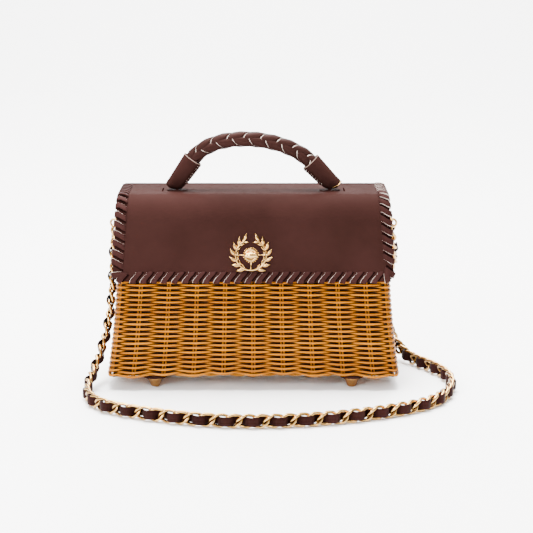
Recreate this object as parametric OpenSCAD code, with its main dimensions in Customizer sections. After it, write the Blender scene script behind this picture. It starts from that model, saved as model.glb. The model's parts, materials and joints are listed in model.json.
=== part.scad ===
// Wicker box bag with a laced leather flap, a braided handle and a chain strap.
// X runs across the bag, the front faces -Y, +Z is up, and the floor is at z = 0.

/* [Basket] */
// Width of the basket at its foot, to the middle of the weave
basket_w = 260; // [240:1:280]
// Depth of the basket at its foot, to the middle of the weave
basket_d = 114; // [108:1:122]
// Lean of the two end walls from the vertical, in degrees
side_lean = 4; // [2:0.5:5]
// Lean of the front and back walls from the vertical, in degrees
front_lean = 7.6; // [6.8:0.1:8.4]
// Radius of the upright corners
corner_r = 10; // [8:0.5:12]
// Thickness of the woven wall
wall_t = 4.5; // [3.5:0.5:5.5]
// Thickness of the woven floor
floor_t = 5; // [4:0.5:6]
// Stake pairs along the front and along the back
stakes_front = 9; // [7:1:11]
// Stake pairs along each end
stakes_end = 4; // [3:1:5]
// Height of one weaver row
row_pitch = 2.2; // [2:0.1:3]
// How far a weaver bulges over a stake
weave_relief = 1.2; // [0.6:0.1:1.6]
// How far a weaver dips behind a stake
weave_dip = 2; // [0.6:0.1:2.2]
// Drop of the front wall's rim below the turn knob's axis
front_rim_drop = 8; // [7:0.5:16]
// Rise of the basket's lower edge at the middle of the front
foot_arch = 2.4; // [0:0.2:3]
// Drop of the lower edge at each stake
foot_scallop = 0.8; // [0:0.1:1]
// Flare of the two end walls at the basket's foot
foot_flare = 2.8; // [0:0.2:3]

/* [Lining] */
// Thickness of the fabric lining
lining_t = 1.2; // [0.8:0.2:2]

/* [Feet] */
// Height of a brass foot
foot_h = 9.5; // [8:0.5:12]
// Radius of a foot at its tip
foot_tip_r = 3.5; // [2.5:0.25:4]
// Radius of a foot under its pad
foot_top_r = 7.2; // [5:0.1:7.5]
// Radius of a leather foot pad
pad_r = 10.5; // [8:0.5:12]
// Thickness of a leather foot pad
pad_t = 2.5; // [1.5:0.25:3.5]
// Distance of the feet from the basket's ends
foot_from_end = 40; // [30:1:60]
// Distance of the feet from the basket's front and back
foot_from_front = 15; // [13:1:27]

/* [Flap] */
// Height of the flap's top above the floor
lid_top_z = 175; // [170:1:182]
// Thickness of the flap's leather
flap_t = 3; // [2.4:0.2:3.6]
// Outer radius of the flap's shoulder
shoulder_r = 25; // [20:1:30]
// Height of the flap's lower front edge
flap_edge_z = 100; // [94:1:106]
// Radius of the flap's lower corners
flap_corner_r = 9; // [4:0.5:14]
// Overhang of the flap past the end walls
flap_overhang = 2; // [1:0.25:3]
// Space left for the lacing between the flap and the basket
lacing_room = 1.8; // [1.6:0.1:2.6]
// Height of the leather panel on the back wall
back_panel_h = 42; // [30:1:60]
// Thickness of the leather panel on the back wall
back_panel_t = 2.5; // [2:0.25:3]

/* [Lacing] */
// Width of the leather lace
lace_w = 6; // [4:0.25:6.5]
// Thickness of the leather lace
lace_t = 1.2; // [0.8:0.1:1.3]
// How far a stitch reaches in from the flap's edge
lace_reach = 8.2; // [6:0.2:9]
// How far a stitch leans along the edge
lace_slant = 6; // [0:0.5:6.5]
// Stitches along the front edge
stitches_front = 24; // [16:1:26]
// Stitches along each end of the flap
stitches_end = 15; // [10:1:16]

/* [Handle] */
// Distance between the two handle pivots
handle_span = 140; // [120:2:160]
// Angle of the left sleeve above the horizontal
sleeve_angle_left = 55; // [46:1:60]
// Angle of the right sleeve above the horizontal
sleeve_angle_right = 46; // [44:1:60]
// Length of a sleeve from its pivot to its rim
sleeve_len = 25; // [20:1:32]
// Radius of a sleeve at its pivot
sleeve_end_r = 7; // [6:0.25:8]
// Length of a sleeve below its pivot
sleeve_tail = 8.5; // [7:0.5:10]
// Radius of a sleeve's rim
sleeve_rim_r = 9.4; // [8.8:0.1:10]
// Radius of the braided grip over its strands
grip_r = 7.2; // [5.5:0.1:7.6]
// Depth of the grooves between the strands
braid_groove = 1; // [0.4:0.1:1.6]
// Length of one full turn of a strand
braid_turn = 27; // [22:1:44]
// Reach of the handle's curve beyond the sleeves
grip_reach = 34; // [28:1:40]
// Radius of the brass handle pins
pin_r = 1.25; // [1:0.05:1.6]

/* [Clasp] */
// Place of the clasp across the flap
clasp_x = -2; // [-6:0.5:6]
// Height of the turn knob's axis above the floor
clasp_z = 124; // [122:0.5:128]
// Radius of the wreath's stem
wreath_r = 13.6; // [12:0.2:15]
// Thickness of the wreath
wreath_t = 1.8; // [1.2:0.1:2.4]
// Leaf pairs on each side of the wreath
leaf_pairs = 7; // [5:1:8]
// Length of an outer leaf
leaf_len = 8.6; // [6:0.2:10]
// Radius of the boss that carries the knob
boss_r = 6.4; // [5:0.2:7]
// Length of the turn knob's bar
knob_len = 11; // [8:0.5:14]
// Width of the turn knob's bar
knob_w = 4.6; // [3.5:0.1:6]
// Radius of the knob's spindle
spindle_r = 2; // [1.5:0.1:2.2]
// Length of the latch cam behind the flap
cam_len = 22; // [21:0.5:24]

/* [Chain strap] */
// Radius of the wire of a chain link
wire_r = 1; // [0.8:0.05:1.05]
// Outer width of a chain link
link_w = 13.6; // [12.6:0.2:14.6]
// Outer length of a chain link
link_len = 18; // [17:0.2:19]
// Distance from one link to the next
link_pitch = 11.5; // [11.3:0.1:11.7]
// Turn of each link out of the chain's plane, in degrees
link_tilt = 23; // [22:0.5:24]
// Width of the leather woven through the chain
strap_lace_w = 6.8; // [5:0.2:7]
// Thickness of the leather woven through the chain
strap_lace_t = 1.2; // [0.8:0.1:1.4]
// Height of the strap anchors' bars above the floor
anchor_z = 152; // [148:1:154]

/* [Hidden] */
$fn = 48;

wicker_tone = "peru";
leather_tone = "#4a2a25";
lining_tone = "#3a241c";
gold_tone = "#d9b668";

// Gap between soft pieces that lie against each other
soft_gap = 0.3;
// Radial running clearance of a pin in its eye
run_gap = 0.1;
// A cut runs this far past the face that it opens
cut_over = 1;

function unit(v) = v / norm(v);
function mix(a, b, t) = a + (b - a) * t;

// The basket's tapered plan
basket_z = foot_h + pad_t;
function half_w(z) = basket_w / 2 - (z - basket_z) * tan(side_lean);
function half_d(z) = basket_d / 2 - (z - basket_z) * tan(front_lean);

// The flap's profile: its underside stands off the weave by the lacing's room
lid_under_z = lid_top_z - flap_t;
flap_face = weave_relief + lacing_room + flap_t;
function flap_front_y(z) = -half_d(z) - flap_face / cos(front_lean);
shoulder_z = lid_top_z - shoulder_r;
shoulder_end_z = shoulder_z + shoulder_r * sin(front_lean);
shoulder_y = flap_front_y(shoulder_end_z) + shoulder_r * cos(front_lean);
inner_shoulder_r = shoulder_r - flap_t;
hinge_r = flap_t / 2;
hinge_z = lid_top_z - hinge_r;
hinge_y = half_d(lid_under_z) + weave_relief + hinge_r;
function flap_half_w(z) = half_w(z) + weave_relief + flap_overhang;

// The end walls flare out towards the foot
flare_rise = 70;
function flare_at(z) = foot_flare * pow(max(0, 1 - (z - basket_z) / flare_rise), 2);

// One upright column of the weave: plan fractions, outward direction, and 1 on a stake
bays_front = 2 * stakes_front;
bays_end = 2 * stakes_end;
diagonal = sqrt(0.5);
columns = concat(
  [for (i = [0:bays_front]) [-1 + 2 * i / bays_front, -1, 0, -1, i % 2]],
  [[1, -1, diagonal, -diagonal, 1]],
  [for (i = [0:bays_end]) [1, -1 + 2 * i / bays_end, 1, 0, i % 2]],
  [[1, 1, diagonal, diagonal, 1]],
  [for (i = [0:bays_front]) [1 - 2 * i / bays_front, 1, 0, 1, i % 2]],
  [[-1, 1, -diagonal, diagonal, 1]],
  [for (i = [0:bays_end]) [-1, 1 - 2 * i / bays_end, -1, 0, i % 2]],
  [[-1, -1, -diagonal, -diagonal, 1]]);
column_count = len(columns);
function column_point(j, z, out, flare = 0) =
  let (c = columns[j], r = corner_r + out)
  [c[0] * (half_w(z) + flare - corner_r) + c[2] * r, c[1] * (half_d(z) - corner_r) + c[3] * r, z];

// The rim follows the flap's underside on the ends and dips at the front
rim_gap = 0.5;
rim_under_r = inner_shoulder_r - lacing_room - rim_gap;
rim_top_z = lid_under_z - lacing_room - rim_gap;
front_rim_z = clasp_z - front_rim_drop;
rim_end_rise = 22;
function under_flap_z(y) =
  y > shoulder_y ? rim_top_z
  : shoulder_z + sqrt(max(0, pow(rim_under_r, 2) - pow(y - shoulder_y, 2)));
function on_front(j) = columns[j][3] == -1;
function rim_z(j) =
  on_front(j) ? front_rim_z + (abs(columns[j][0]) == 1 ? rim_end_rise : 0)
  : let (first = under_flap_z(column_point(j, rim_top_z, 0)[1]))
    under_flap_z(column_point(j, first, 0)[1]);

// Heights of a column's rows, with the foot of the front and back walls arched up
arch_rows = 20;
function row_count(j) = round((rim_z(j) - basket_z) / row_pitch);
function arch_at(j, k) =
  abs(columns[j][3]) == 1 ? foot_arch * (1 - pow(columns[j][0], 2)) * max(0, 1 - k / arch_rows) : 0;
scallop_rows = 7;
function scallop_at(j, k) = foot_scallop * max(0, 1 - k / scallop_rows) * (columns[j][4] == 1 ? -1 : 1);
function row_z(j, k) =
  k < row_count(j) ? basket_z + k * row_pitch + arch_at(j, k) + scallop_at(j, k) : rim_z(j);
function weave_out(j, k) =
  columns[j][4] == 0 ? (weave_relief - weave_dip) / 2
  : ((j - 1) / 2 + k) % 2 == 0 ? weave_relief : -weave_dip;

// Running starts of the columns' points in one flat list
function starts(lists) = [for (i = 0, n = 0; i <= len(lists);
  n = n + (i < len(lists) ? len(lists[i]) : 0), i = i + 1) n];

// A closed tub: outer columns of any height, a smooth inner wall, a floor and a foot ring
module tub(outer, inner_foot, inner_top, foot_ring) {
  n = len(outer);
  start = starts(outer);
  a0 = start[n];
  b0 = a0 + n;
  c0 = b0 + n;
  floor_mid = c0 + n;
  points = concat([for (column = outer) each column], inner_foot, inner_top, foot_ring,
    [[0, 0, inner_foot[0][2]], [0, 0, foot_ring[0][2]]]);
  outer_faces = [for (j = [0:n - 1]) let (
      m = (j + 1) % n, lo = start[j], hi = start[m],
      left = len(outer[j]) - 1, right = len(outer[m]) - 1, both = min(left, right))
    each concat(
      [for (k = [0:1:both - 1]) each [[lo + k, lo + k + 1, hi + k + 1], [lo + k, hi + k + 1, hi + k]]],
      [for (k = [both:1:left - 1]) [lo + k, lo + k + 1, hi + right]],
      [for (k = [both:1:right - 1]) [lo + left, hi + k + 1, hi + k]])];
  ring_faces = [for (j = [0:n - 1]) let (
      m = (j + 1) % n, top = start[j + 1] - 1, next_top = start[m + 1] - 1)
    each [
      [top, b0 + j, b0 + m], [top, b0 + m, next_top],
      [a0 + j, a0 + m, b0 + m], [a0 + j, b0 + m, b0 + j],
      [start[j], start[m], c0 + m], [start[j], c0 + m, c0 + j],
      [a0 + m, a0 + j, floor_mid], [c0 + j, c0 + m, floor_mid + 1]]];
  polyhedron(points, concat(outer_faces, ring_faces), convexity = 8);
}

// A strip of four-sided rings joined end to end, closed at both ends
module ring_strip(rings) {
  n = len(rings);
  s = len(rings[0]);
  sides = [for (i = [0:n - 2]) for (k = [0:s - 1]) let (m = (k + 1) % s)
    each [[i * s + k, i * s + m, (i + 1) * s + m], [i * s + k, (i + 1) * s + m, (i + 1) * s + k]]];
  caps = [[for (k = [s - 1:-1:0]) k], [for (k = [0:s - 1]) (n - 1) * s + k]];
  polyhedron([for (ring = rings) each ring], concat(sides, caps), convexity = 8);
}

// Woven basket: every other row passes outside a stake
foot_inset = 4;
module basket() {
  color(wicker_tone) tub(
    [for (j = [0:column_count - 1])
      [for (k = [0:row_count(j)])
        column_point(j, row_z(j, k), weave_out(j, k), flare_at(basket_z + k * row_pitch))]],
    [for (j = [0:column_count - 1]) column_point(j, basket_z + floor_t, -wall_t)],
    [for (j = [0:column_count - 1]) column_point(j, rim_z(j), -wall_t)],
    [for (j = [0:column_count - 1]) column_point(j, basket_z, -foot_inset, foot_flare)]);
}

// Fabric lining, a little below the rim
lining_drop = 2;
lining_out = wall_t + soft_gap;
lining_z = basket_z + floor_t + soft_gap;
module lining() {
  color(lining_tone) tub(
    [for (j = [0:column_count - 1])
      [column_point(j, lining_z, -lining_out), column_point(j, rim_z(j) - lining_drop, -lining_out)]],
    [for (j = [0:column_count - 1]) column_point(j, lining_z + lining_t, -lining_out - lining_t)],
    [for (j = [0:column_count - 1]) column_point(j, rim_z(j) - lining_drop, -lining_out - lining_t)],
    [for (j = [0:column_count - 1]) column_point(j, lining_z, -lining_out - lining_t)]);
}

// Draws a front-to-back outline and runs it across the bag
module across(width) {
  translate([-width / 2, 0, 0]) rotate([90, 0, 90]) linear_extrude(width) children();
}

// Leather panel sewn to the back wall under the flap's hinge
back_panel_margin = 8;
back_panel_top = hinge_z - hinge_r - soft_gap;
module back_panel() {
  top = back_panel_top;
  low = top - back_panel_h;
  near = weave_relief + soft_gap;
  far = near + back_panel_t;
  color(leather_tone) across(2 * (half_w(top) - back_panel_margin)) polygon([
    [half_d(low) + near, low], [half_d(low) + far, low],
    [half_d(top) + far, top], [half_d(top) + near, top]]);
}

// Places a child on the flap's outer face at the clasp, with local +Z pointing out of the bag
module at_clasp() {
  translate([clasp_x, flap_front_y(clasp_z), clasp_z]) rotate([90 - front_lean, 0, 0]) children();
}

// Depths behind the flap's outer face, for the latch
backplate_t = 1.2;
strike_t = 1;
lining_depth = (flap_face + (lining_out + lining_t) * cos(front_lean));
strike_depth = lining_depth + soft_gap;
cam_gap = 0.7;
cam_depth = strike_depth + strike_t + cam_gap;
cam_t = 2;
cam_w = 6;
spindle_end = cam_depth + cam_t + 0.6;

// Brass strike that the cam turns behind, on the front wall's lining
strike_w = 30;
strike_h = 12;
strike_drop = (clasp_z - (front_rim_z - lining_drop)) / cos(front_lean);
module strike_plate() {
  color(gold_tone) at_clasp() translate([-strike_w / 2, -strike_drop - strike_h, -strike_depth - strike_t])
    cube([strike_w, strike_h, strike_t]);
}

// Leather pads and turned brass feet
foot_lip = 1.2;
foot_x = basket_w / 2 - foot_from_end;
foot_y = basket_d / 2 - foot_from_front;
module foot_pad(sx, sy) {
  color(leather_tone) translate([sx * foot_x, sy * foot_y, foot_h]) cylinder(h = pad_t, r = pad_r);
}
module foot(sx, sy) {
  color(gold_tone) translate([sx * foot_x, sy * foot_y, 0]) {
    cylinder(h = foot_h - foot_lip, r1 = foot_tip_r, r2 = foot_top_r);
    translate([0, 0, foot_h - foot_lip]) cylinder(h = foot_lip, r = foot_top_r);
  }
}

// Strap anchors: a leather tab on the end wall, folded round the bar of a D-ring
tab_w = 9;
tab_t = 2;
tab_h = 14;
ring_wire_r = 1;
bar_gap = 0.2;
loop_r = ring_wire_r + bar_gap + tab_t;
d_ring_r = 7;
d_ring_tilt = 30;
anchor_x = half_w(anchor_z) + weave_relief + soft_gap + loop_r;
module anchor_tab(side) {
  color(leather_tone) translate([side * anchor_x, 0, anchor_z]) difference() {
    union() {
      rotate([90, 0, 0]) cylinder(h = tab_w, r = loop_r, center = true);
      rotate([0, -side * side_lean, 0]) translate([-side * (loop_r - tab_t / 2), 0, tab_h / 2])
        cube([tab_t, tab_w, tab_h], center = true);
    }
    rotate([90, 0, 0]) cylinder(h = tab_w + 2 * cut_over, r = ring_wire_r + bar_gap, center = true);
  }
}
module anchor_ring(side) {
  color(gold_tone) translate([side * anchor_x, 0, anchor_z]) rotate([0, -side * d_ring_tilt, 0]) {
    rotate([90, 0, 0]) cylinder(h = 2 * d_ring_r, r = ring_wire_r, center = true);
    rotate([0, 90, 0]) rotate_extrude(angle = 180, start = -90) translate([d_ring_r, 0]) circle(ring_wire_r);
    for (end = [-1, 1]) translate([0, end * d_ring_r, 0]) sphere(ring_wire_r);
  }
}

// Jump ring between a D-ring and the strap's first link
jump_r = 3.6;
jump_wire_r = 1;
jump_gap = 0.1;
jump_hold = jump_r - jump_wire_r - jump_gap;
ring_low_x = anchor_x + d_ring_r * sin(d_ring_tilt);
ring_low_z = anchor_z - d_ring_r * cos(d_ring_tilt);
jump_z = ring_low_z - (jump_hold - ring_wire_r);
strap_start_z = jump_z - (jump_hold - wire_r);
module strap_ring(side) {
  color(gold_tone) translate([side * ring_low_x, 0, jump_z]) rotate([90, 0, 0])
    rotate_extrude() translate([jump_r, 0]) circle(jump_wire_r);
}

// Route of the strap from the left anchor, along the floor in front, to the right anchor
lie_z = (link_w / 2 - wire_r) * cos(link_tilt) + wire_r + soft_gap;
route = [
  [-ring_low_x, 0, strap_start_z],
  [-129, 0, 130], [-130, 0, 112], [-131, 0, 94], [-132, -2, 76], [-134, -8, 58],
  [-137, -18, 42], [-141, -31, 28], [-145, -46, 17], [-148, -62, 10], [-148, -80, lie_z],
  [-144, -100, lie_z], [-134, -119, lie_z], [-119, -133, lie_z], [-100, -144, lie_z],
  [-78, -154, lie_z], [-54, -163, lie_z], [-28, -169, lie_z], [-2, -171, lie_z],
  [24, -170, lie_z], [48, -166, lie_z], [72, -160, lie_z], [94, -152, lie_z],
  [116, -142, lie_z], [137, -130, lie_z], [155, -115, lie_z], [168, -97, lie_z],
  [176, -76, lie_z], [180, -54, lie_z], [179, -32, lie_z], [174, -12, lie_z],
  [165, 7, lie_z], [155, 24, lie_z], [147, 37, 8.5], [140.5, 47.5, 13], [134.5, 55, 21],
  [129.5, 59, 33], [126.5, 59.5, 48], [125, 58, 63], [125, 54.5, 77], [127, 48.8, 89.5],
  [130.2, 38, 99], [130.2, 27, 107.5], [130.2, 17, 115], [130, 9.6, 121], [129.5, 4.2, 127.5],
  [128.9, 1, 135],
  [ring_low_x, 0, strap_start_z]];

// Even stations along the route, on a smooth curve through its points
route_steps = 6;
function curve_at(p0, p1, p2, p3, t) = 0.5 * (2 * p1 + (p2 - p0) * t
  + (2 * p0 - 5 * p1 + 4 * p2 - p3) * t * t + (3 * p1 - p0 - 3 * p2 + p3) * t * t * t);
function route_point(i) =
  i < 0 ? 2 * route[0] - route[1]
  : i < len(route) ? route[i] : 2 * route[len(route) - 1] - route[len(route) - 2];
route_curve = concat(
  [for (i = [0:len(route) - 2]) for (k = [0:route_steps - 1])
    curve_at(route_point(i - 1), route_point(i), route_point(i + 1), route_point(i + 2), k / route_steps)],
  [route[len(route) - 1]]);
route_lengths = [for (i = 0, s = 0; i < len(route_curve);
  s = s + (i + 1 < len(route_curve) ? norm(route_curve[i + 1] - route_curve[i]) : 0), i = i + 1) s];
strap_len = route_lengths[len(route_lengths) - 1];
route_axis = [for (axis = [0:2])
  [for (i = [0:len(route_curve) - 1]) [route_lengths[i], route_curve[i][axis]]]];
function strap_point(s) = [for (axis = [0:2]) lookup(s, route_axis[axis])];
tangent_step = 3;
function strap_tangent(s) = unit(strap_point(min(s + tangent_step, strap_len))
  - strap_point(max(s - tangent_step, 0)));
// The chain's flat side faces the wall where it hangs and stands upright where it lies
facing_r = 3.5 * corner_r;
function wall_outward(p) = let (
    a = half_w(p[2]) - facing_r, b = half_d(p[2]) - facing_r,
    v = [p[0] - min(max(p[0], -a), a), p[1] - min(max(p[1], -b), b), 0])
  v / max(norm(v), 0.001);
function strap_facing(p, t) = let (
    v = [-t[1], t[0], 0] - 2 * abs(t[2]) * wall_outward(p))
  unit(v - (v * t) * t);

// Strap chain: stadium links, each turned the other way from its neighbours
link_r = link_w / 2 - wire_r;
link_straight = link_len - link_w;
link_hold = link_len / 2 - wire_r;
link_run = strap_len - 2 * link_hold;
link_count = round(link_run / link_pitch) + 1;
link_step = link_run / (link_count - 1);
module link() {
  for (end = [-1, 1]) {
    translate([0, 0, end * link_straight / 2]) rotate([0, 90, 0])
      rotate_extrude(angle = 180, start = end > 0 ? 90 : -90) translate([link_r, 0]) circle(wire_r);
    translate([0, end * link_r, 0]) cylinder(h = link_straight, r = wire_r, center = true);
  }
}
// Turns local +Z along the strap and local +X to the way it faces
module along_strap(s) {
  p = strap_point(s);
  t = strap_tangent(s);
  f = strap_facing(p, t);
  w = cross(t, f);
  multmatrix([[f[0], w[0], t[0], p[0]], [f[1], w[1], t[1], p[1]], [f[2], w[2], t[2], p[2]], [0, 0, 0, 1]])
    children();
}
module strap_chain() {
  color(gold_tone) for (i = [0:link_count - 1])
    along_strap(link_hold + i * link_step)
      rotate([0, 0, (i % 2 == 0 ? 1 : -1) * link_tilt]) link();
}

// Leather strip woven through the chain, before one crossing and behind the next
lace_swing = 4.2;
lace_step = 2;
lace_step_out = 2.6;
module strap_lace() {
  // Stations within one link: run from the link's middle, and how far out the strip stands
  stations = [[-lace_step, -lace_step_out], [lace_step, lace_step_out], [link_step / 2, lace_swing]];
  color(leather_tone) ring_strip([for (i = [1:link_count - 3]) for (station = stations) let (
      s = link_hold + link_step * i + station[0],
      p = strap_point(s), t = strap_tangent(s), f = strap_facing(p, t), w = cross(t, f),
      c = p + (i % 2 == 0 ? 1 : -1) * station[1] * f,
      hx = strap_lace_t / 2, hy = strap_lace_w / 2)
    [c - hx * f - hy * w, c - hx * f + hy * w, c + hx * f + hy * w, c + hx * f - hy * w]]);
}

// Leather flap: a flat top, a round shoulder and a leaning front, cut to the end walls' lean
spindle_hole_r = spindle_r + run_gap;
stud_r = 1.8;
flap_cut = 40;
shoulder_steps = 18;
function shoulder_arc(r) = [for (i = [0:shoulder_steps])
  let (turn = mix(front_lean, 90, i / shoulder_steps))
  [shoulder_y, shoulder_z] + r * [-cos(turn), sin(turn)]];
hinge_steps = 8;
hinge_arc = [for (i = [0:hinge_steps]) let (turn = mix(90, -90, i / hinge_steps))
  [hinge_y, hinge_z] + hinge_r * [cos(turn), sin(turn)]];
module flap_outline() {
  front = [flap_front_y(flap_edge_z), flap_edge_z];
  inner_arc = shoulder_arc(inner_shoulder_r);
  polygon(concat(
    [front], shoulder_arc(shoulder_r), hinge_arc,
    [for (i = [shoulder_steps:-1:0]) inner_arc[i]],
    [front + flap_t * [cos(front_lean), -sin(front_lean)]]));
}
flap_corner_z = flap_edge_z + flap_corner_r * cos(front_lean);
function flap_corner(side) =
  [side * (flap_half_w(flap_corner_z) - flap_corner_r), flap_front_y(flap_corner_z), flap_corner_z];
module flap_corner_cut(side) {
  size = 2 * flap_corner_r;
  translate(flap_corner(side)) rotate([90 - front_lean, 0, 0]) linear_extrude(4 * flap_t, center = true)
    difference() {
      translate([side > 0 ? 0 : -size, -size]) square(size);
      circle(flap_corner_r);
    }
}
module flap() {
  color(leather_tone) difference() {
    across(2 * flap_half_w(flap_edge_z) + flap_cut) flap_outline();
    for (side = [-1, 1]) translate([side * flap_half_w(lid_top_z), 0, lid_top_z])
      rotate([0, -side * side_lean, 0]) translate([side > 0 ? 0 : -flap_cut, -basket_d, -basket_d])
        cube([flap_cut, 2 * basket_d, 2 * basket_d]);
    for (side = [-1, 1]) flap_corner_cut(side);
    at_clasp() cylinder(h = 4 * flap_t, r = spindle_hole_r, center = true);
    for (side = [-1, 1]) translate([side * handle_span / 2, 0, lid_under_z - cut_over])
      cylinder(h = flap_t + 2 * cut_over, r = stud_r + run_gap);
  }
}

// Lacing: one lace stitch wrapped over the flap's edge, slanted outside and straight inside.
// e runs along the edge, d out across it, and n out of the flap's outer face.
lace_gap = 0.1;
lace_in_gap = 0.35;
lace_edge_gap = 0.6;
module stitch(origin, e, d, n) {
  out = lace_gap;
  back = flap_t + lace_in_gap;
  path = [
    [-lace_slant, -lace_reach, out, -lace_reach, out + lace_t],
    [0, lace_edge_gap, out, lace_edge_gap + lace_t, out + lace_t],
    [0, lace_edge_gap, -back, lace_edge_gap + lace_t, -back - lace_t],
    [0, -lace_reach, -back, -lace_reach, -back - lace_t]];
  ring_strip([for (p = path) [for (corner = [[-1, 0], [1, 0], [1, 1], [-1, 1]])
    origin + e * (p[0] + corner[0] * lace_w / 2)
      + d * p[1 + 2 * corner[1]] + n * p[2 + 2 * corner[1]]]]);
}

// A place on the flap's outer profile at a run s from the hinge: [y, z, turn from the top]
top_run = hinge_y - shoulder_y;
shoulder_run = shoulder_r * (90 - front_lean) * PI / 180;
front_run = (shoulder_end_z - flap_edge_z) / cos(front_lean);
function profile_at(s) =
  s < top_run ? [hinge_y - s, lid_top_z, 0]
  : s < top_run + shoulder_run
  ? let (turn = (s - top_run) / shoulder_r * 180 / PI)
    [shoulder_y - shoulder_r * sin(turn), shoulder_z + shoulder_r * cos(turn), turn]
  : let (run = s - top_run - shoulder_run)
    [flap_front_y(shoulder_end_z) - run * sin(front_lean), shoulder_end_z - run * cos(front_lean),
      90 - front_lean];
front_down = [0, -sin(front_lean), -cos(front_lean)];
front_out = [0, -cos(front_lean), sin(front_lean)];
lace_first = lace_w / 2 + lace_slant;
lace_corner = lace_reach + lace_t + lace_w / 2 + lace_slant;
module flap_lacing() {
  end_run = top_run + shoulder_run + front_run;
  color(leather_tone) {
    for (side = [-1, 1]) for (i = [0:stitches_end - 1]) {
      at = profile_at(mix(lace_first, end_run - lace_corner, i / (stitches_end - 1)));
      e = side * [0, -cos(at[2]), -sin(at[2])];
      n = [0, -sin(at[2]), cos(at[2])];
      stitch([side * flap_half_w(at[1]), at[0], at[1]], e, [side, 0, 0], n);
    }
    edge_x = flap_half_w(flap_edge_z) - lace_corner;
    for (i = [0:stitches_front - 1]) stitch(
      [mix(-edge_x, edge_x, i / (stitches_front - 1)), flap_front_y(flap_edge_z), flap_edge_z],
      [-1, 0, 0], front_down, front_out);
    for (side = [-1, 1]) {
      d = unit([side, 0, 0] + front_down);
      stitch(flap_corner(side) + flap_corner_r * d, unit([-1, 0, 0] + side * front_down), d, front_out);
    }
  }
}

// Gilt clasp: an open wreath of leaves round the knob's boss
stem_w = 1.8;
wreath_gap = 26;
leaf_w = 3.6;
inner_leaf = 0.66;
leaf_from = -68;
leaf_to = 58;
leaf_turn = 34;
spoke_w = 2;
boss_h = 3.2;
module leaf(length, width) {
  r = (length * length / 4 + width * width / 4) / width;
  intersection() {
    translate([length / 2, r - width / 2]) circle(r);
    translate([length / 2, width / 2 - r]) circle(r);
  }
}
module wreath_outline() {
  difference() {
    circle(wreath_r + stem_w / 2);
    circle(wreath_r - stem_w / 2);
    polygon([[0, 0], 2 * wreath_r * [sin(wreath_gap), cos(wreath_gap)],
      [0, 3 * wreath_r], 2 * wreath_r * [-sin(wreath_gap), cos(wreath_gap)]]);
  }
  for (side = [0, 1]) mirror([side, 0]) for (i = [0:leaf_pairs - 1]) {
    angle = mix(leaf_from, leaf_to, i / (leaf_pairs - 1));
    rotate(angle) translate([wreath_r, 0]) {
      rotate(90 - leaf_turn) leaf(leaf_len, leaf_w);
      rotate(90 + leaf_turn) leaf(leaf_len * inner_leaf, leaf_w * inner_leaf);
    }
  }
  for (turn = [0, 180, 270]) rotate(turn) translate([0, -spoke_w / 2]) square([wreath_r, spoke_w]);
  translate([0, -wreath_r]) circle(leaf_w * inner_leaf);
}
module clasp_wreath() {
  color(gold_tone) at_clasp() difference() {
    union() {
      linear_extrude(wreath_t) wreath_outline();
      cylinder(h = boss_h, r = boss_r);
    }
    translate([0, 0, -cut_over]) cylinder(h = boss_h + 2 * cut_over, r = spindle_hole_r);
  }
}
backplate_r = 9;
module clasp_backplate() {
  color(gold_tone) at_clasp() translate([0, 0, -flap_t - backplate_t]) difference() {
    cylinder(h = backplate_t, r = backplate_r);
    translate([0, 0, -cut_over]) cylinder(h = backplate_t + 2 * cut_over, r = spindle_hole_r);
  }
}

// Turn knob and the latch cam on its spindle
knob_t = 3.4;
collar_gap = 0.3;
collar_h = 1.4;
collar_r = 3.2;
module bar_outline(length, width) {
  square([length - width, width], center = true);
  for (end = [-1, 1]) translate([end * (length - width) / 2, 0]) circle(width / 2);
}
module turn_knob() {
  collar_z = boss_h + collar_gap;
  color(gold_tone) at_clasp() {
    translate([0, 0, -spindle_end]) cylinder(h = spindle_end + collar_z + collar_h, r = spindle_r);
    translate([0, 0, collar_z]) cylinder(h = collar_h, r = collar_r);
    translate([0, 0, collar_z + collar_h]) linear_extrude(knob_t) bar_outline(knob_len, knob_w);
  }
}
module latch_cam() {
  color(gold_tone) at_clasp() translate([0, 0, -cam_depth - cam_t]) linear_extrude(cam_t) difference() {
    bar_outline(cam_len, cam_w);
    circle(spindle_r);
  }
}

// Handle mounts: a brass eye on an oval foot, riveted through the flap
mount_w = 19;
mount_d = 15;
mount_t = 0.8;
eye_t = 2.6;
eye_r = 3.2;
washer_r = 6;
washer_t = 1;
rivet_r = 2.6;
rivet_h = 0.8;
sleeve_swing_r = sleeve_end_r + soft_gap;
pivot_z = lid_top_z + mount_t + soft_gap + sleeve_swing_r;
module handle_mount(side) {
  color(gold_tone) translate([side * handle_span / 2, 0, 0]) {
    difference() {
      union() {
        translate([0, 0, lid_top_z]) linear_extrude(mount_t) bar_outline(mount_w, mount_d);
        translate([-eye_t / 2, -eye_r, lid_top_z]) cube([eye_t, 2 * eye_r, pivot_z - lid_top_z]);
        translate([0, 0, pivot_z]) rotate([0, 90, 0]) cylinder(h = eye_t, r = eye_r, center = true);
      }
      translate([0, 0, pivot_z]) rotate([0, 90, 0])
        cylinder(h = eye_t + 2 * cut_over, r = pin_r + run_gap, center = true);
    }
    translate([0, 0, lid_under_z - washer_t]) cylinder(h = flap_t + washer_t, r = stud_r);
    translate([0, 0, lid_under_z - washer_t - rivet_h]) cylinder(h = rivet_h, r = rivet_r);
  }
}
module handle_washer(side) {
  color(gold_tone) translate([side * handle_span / 2, 0, lid_under_z - washer_t]) difference() {
    cylinder(h = washer_t, r = washer_r);
    translate([0, 0, -cut_over]) cylinder(h = washer_t + 2 * cut_over, r = stud_r);
  }
}

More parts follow.
